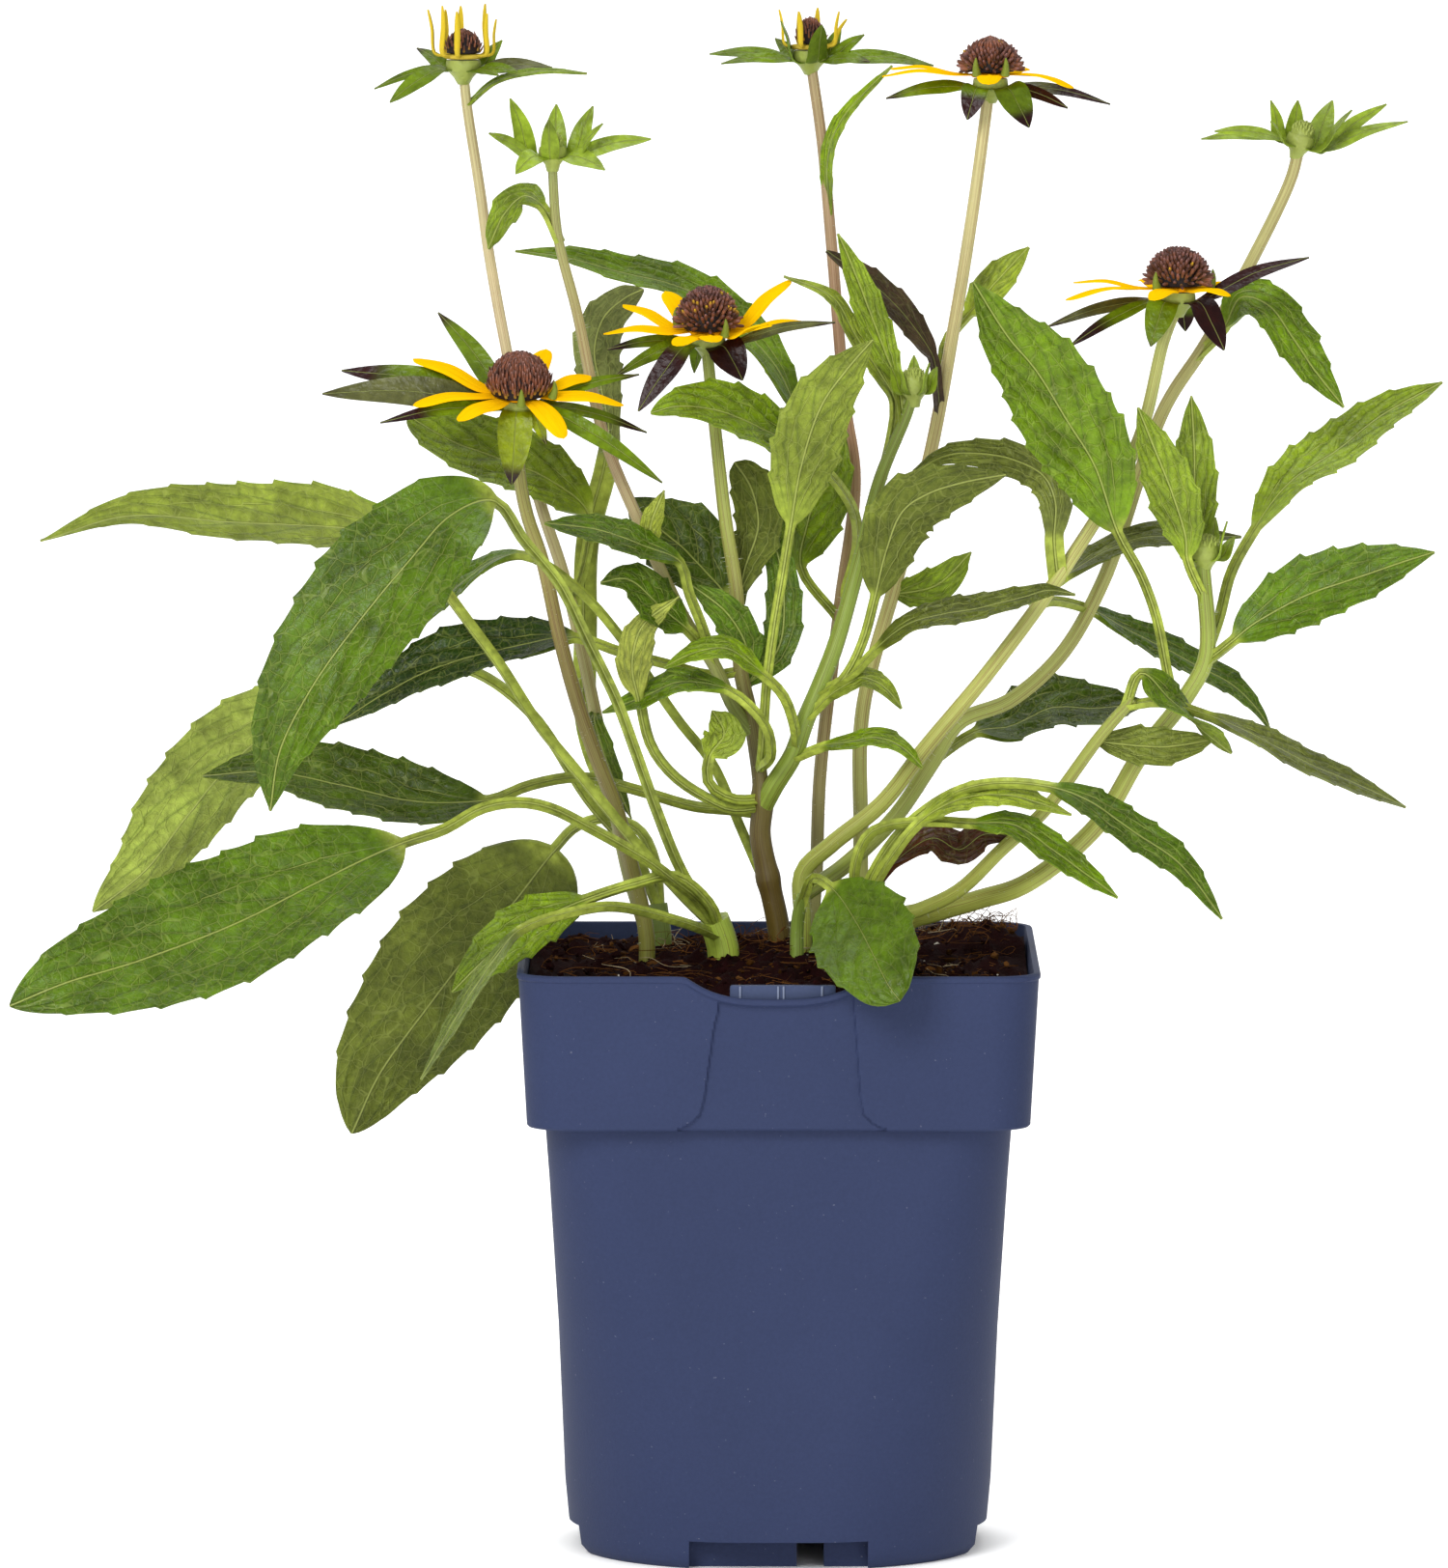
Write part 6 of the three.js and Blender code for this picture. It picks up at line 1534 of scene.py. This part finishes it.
def block_rings(size, centre, soft=0.4):
    """A box with soft upright edges as rings from its foot to its top."""
    x, y, z = np.array(size) / 2
    angle = np.linspace(0, 2 * math.pi, 24, endpoint=False) + math.pi / 24
    px = np.clip(np.cos(angle) * 3, -1, 1) * (x - soft) + soft * np.cos(angle)
    py = np.clip(np.sin(angle) * 3, -1, 1) * (y - soft) + soft * np.sin(angle)
    rows = [(-z, 1.0), (z - soft, 1.0), (z, 0.97)]
    return np.stack([np.stack([px * s, py * s, np.full(24, h)], -1) for h, s in rows]) + np.array(centre)


band, ribs = Skins(), Skins()
band.add(block_rings((BAND_RIGHT - BAND_LEFT, BAND_THICK, BAND_TOP - BAND_FOOT),
                     ((BAND_LEFT + BAND_RIGHT) / 2, BAND_FACE + BAND_THICK / 2, (BAND_TOP + BAND_FOOT) / 2)))
for x in BAND_RIBS:
    ribs.add(block_rings(RIB_SIZE, (x, BAND_FACE - 0.1, BAND_TOP - 4.1), 0.1))
band.piece("pot_inner_band", BAND_PLASTIC, "pot", "pot")
ribs.piece("pot_band_ribs", RIB_HIGHLIGHT_PLASTIC, "pot", "pot")

# %% [markdown]
# ## The soil
# The potting mix fills the pot to just below the rim, heaped where the plant stands. One closed skin follows
# the inside of the pot and rises into a crumbly top: several sizes of noise are added to its height. Loose
# crumbs, bits of bark and thin pale roots lie on it.

# %% Soil surface
SOIL_LEVEL = 150.5
GAP = 0.35


def soil_height(x, y):
    """A level, two round heaps and a slow ripple."""
    def heap(cx, cy, wide, high):
        return high * np.exp(-((x - cx) ** 2 + (y - cy) ** 2) / (2 * wide * wide))

    ripple = 0.9 * np.sin(0.41 * x + 1.3) * np.cos(0.37 * y) + 0.6 * np.sin(0.83 * x - 0.71 * y)
    return SOIL_LEVEL + heap(4, 6, 26, 6) + heap(53, 26, 13, 7) + ripple


def value_noise(x, y, cell, seed):
    """Random numbers on a square lattice, joined smoothly between its points."""
    lattice = np.random.default_rng(seed).random((64, 64))
    u, v = x / cell + 500, y / cell + 500
    i, j = np.floor(u).astype(int), np.floor(v).astype(int)
    s, t = smooth(u - i, 0, 1), smooth(v - j, 0, 1)
    pick = lambda a, b: lattice[(i + a) % 64, (j + b) % 64]
    return (pick(0, 0) * (1 - s) * (1 - t) + pick(1, 0) * s * (1 - t) + pick(0, 1) * (1 - s) * t
            + pick(1, 1) * s * t) - 0.5


def crumbly(x, y):
    """Noise of four sizes, each half as high as the one before."""
    return sum(high * value_noise(x, y, cell, seed) for cell, high, seed in
               ((9, 3.0, 1), (4.2, 2.0, 2), (2.1, 1.0, 3), (1.1, 0.6, 4)))


SOIL_BROWN = tint(54, 40, 30)
SOIL_SINK = 0.6
INSIDE = WALL + GAP
soil_rows = [(FLOOR_TOP + GAP, BASE_HALF + 0.2 - GAP, 44), (18, BASE_HALF + 1.2 - GAP, 43),
             (60, BODY_HALF - 3.2 - INSIDE, 31), (100, BODY_HALF - 1 - INSIDE, 19),
             (SKIRT_FOOT + 1.5, BODY_HALF - 0.2 - INSIDE, 15), (SKIRT_FOOT + 3.2, SKIRT_HALF - INSIDE, 10)]
flare = (RIM_HALF - SKIRT_HALF) / (POT_HEIGHT - SKIRT_FOOT - 3.2)
brim_half = SKIRT_HALF + flare * (SOIL_LEVEL - 2 - SKIRT_FOOT - 3.2) - INSIDE
brim = square_rings([(SOIL_LEVEL - 2, brim_half, 10)])[0]
tops = []
for share in np.linspace(1, 0.03, 80):
    x, y = brim[:, 0] * share, brim[:, 1] * share
    rough = 0.3 + 0.7 * smooth(1 - share, 0, 0.04)
    tops.append(np.stack([x, y, soil_height(x, y) - SOIL_SINK + crumbly(x, y) * rough], -1))
soil_rings = np.concatenate([square_rings(fill_rows(soil_rows, 20.0)), np.array(tops)])


def soil_material():
    material, tree, shader = new_material("soil_brown")
    fill(shader, Base_Color=patched(patched(mark(tree, "hue", "Color"), 160.0, 1.3), 900.0, 1.0),
         Roughness=0.95, Specular_IOR_Level=0.05, Normal=grain(tree, 900.0, 0.0006))
    return material


SOIL = soil_material()
soil = Skins()
soil.add(soil_rings, hue=SOIL_BROWN)
soil.piece("soil_surface", SOIL, "soil", "soil", sharp=80)

# %% Crumbs, bark and roots on the soil
CRUMBS = 1700
CRUMB_TINTS = (SOIL_BROWN, tint(78, 58, 42), tint(112, 80, 54), tint(206, 200, 188))
CRUMB_SHARES = (0.66, 0.22, 0.11, 0.01)
FLAT_FIBRES = 460
TUFTS = ((54, 30, 9, 90, 2.4), (-8, 8, 8, 40, 2.6), (40, 34, 10, 30, 2.0))
FIBRE_BROWN = tint(126, 88, 58)
FIBRE_PALE = tint(190, 172, 140)


def inside_pot(count, share=0.94):
    """Random places within the brim."""
    return rng.uniform(-brim_half, brim_half, (2, count)) * share


def surface_at(x, y):
    return soil_height(x, y) - SOIL_SINK + crumbly(x, y)


def shaded(colour, low, high):
    """A colour made lighter or darker by chance, with its alpha kept."""
    return colour * np.r_[np.full(3, rng.uniform(low, high)), 1]


bits = Skins()
x, y = inside_pot(CRUMBS)
for centre in np.stack([x, y, surface_at(x, y)], -1):
    size = 0.2 + 0.9 * rng.random() ** 5
    spin = rng.random() * 6.28
    long = rng.uniform(0.8, 2.6)
    way = np.array([math.cos(spin), math.sin(spin), rng.uniform(-0.3, 0.5)]) * size * long
    centre = centre + (0, 0, 0.3 * size)
    rings = tube_rings(np.array([centre - way, centre, centre + way]),
                       lambda v: size * (0.25 + 0.9 * np.sin(math.pi * v)) * (1 + 0.2 * np.sin(9 * v + spin)),
                       sides=5, step=max(0.4, size * long / 2.5))[0]
    hue = CRUMB_TINTS[rng.choice(4, p=CRUMB_SHARES)]
    bits.add(rings + rng.normal(0, 0.08 * size, rings.shape), hue=shaded(hue, 0.7, 1.3))
bits.piece("soil_crumbs", SOIL, "soil", "soil", sharp=40)

fibres = Skins()
x, y = inside_pot(FLAT_FIBRES, 0.92)
climb = np.full(FLAT_FIBRES, 0.9)
for middle_x, middle_y, apart, count, rise in TUFTS:
    x = np.r_[x, np.clip(rng.normal(middle_x, apart, count), -58, 58)]
    y = np.r_[y, np.clip(rng.normal(middle_y, apart, count), -50, 58)]
    climb = np.r_[climb, np.full(count, rise)]
limit = brim_half * 0.97
for foot, rise in zip(np.stack([x, y, surface_at(x, y) - 0.2], -1), climb):
    path = np.cumsum(rng.normal(0, 1, (5, 3)) * (2.6, 2.6, rise), 0)
    path -= path[0]
    path[:, 2] = np.minimum(np.abs(path[:, 2]) * 0.8, 13)
    path += foot
    path[:, :2] = np.clip(path[:, :2], -limit, limit)
    wide = rng.uniform(0.08, 0.18)
    rings = tube_rings(path, lambda v: wide * (1 - 0.6 * v), sides=4, step=1.2)[0]
    pale = rng.random() < 0.12
    fibres.add(rings, hue=FIBRE_PALE if pale else shaded(FIBRE_BROWN, 0.4, 1.2))
fibres.piece("soil_fibres", SOIL, "soil", "soil")
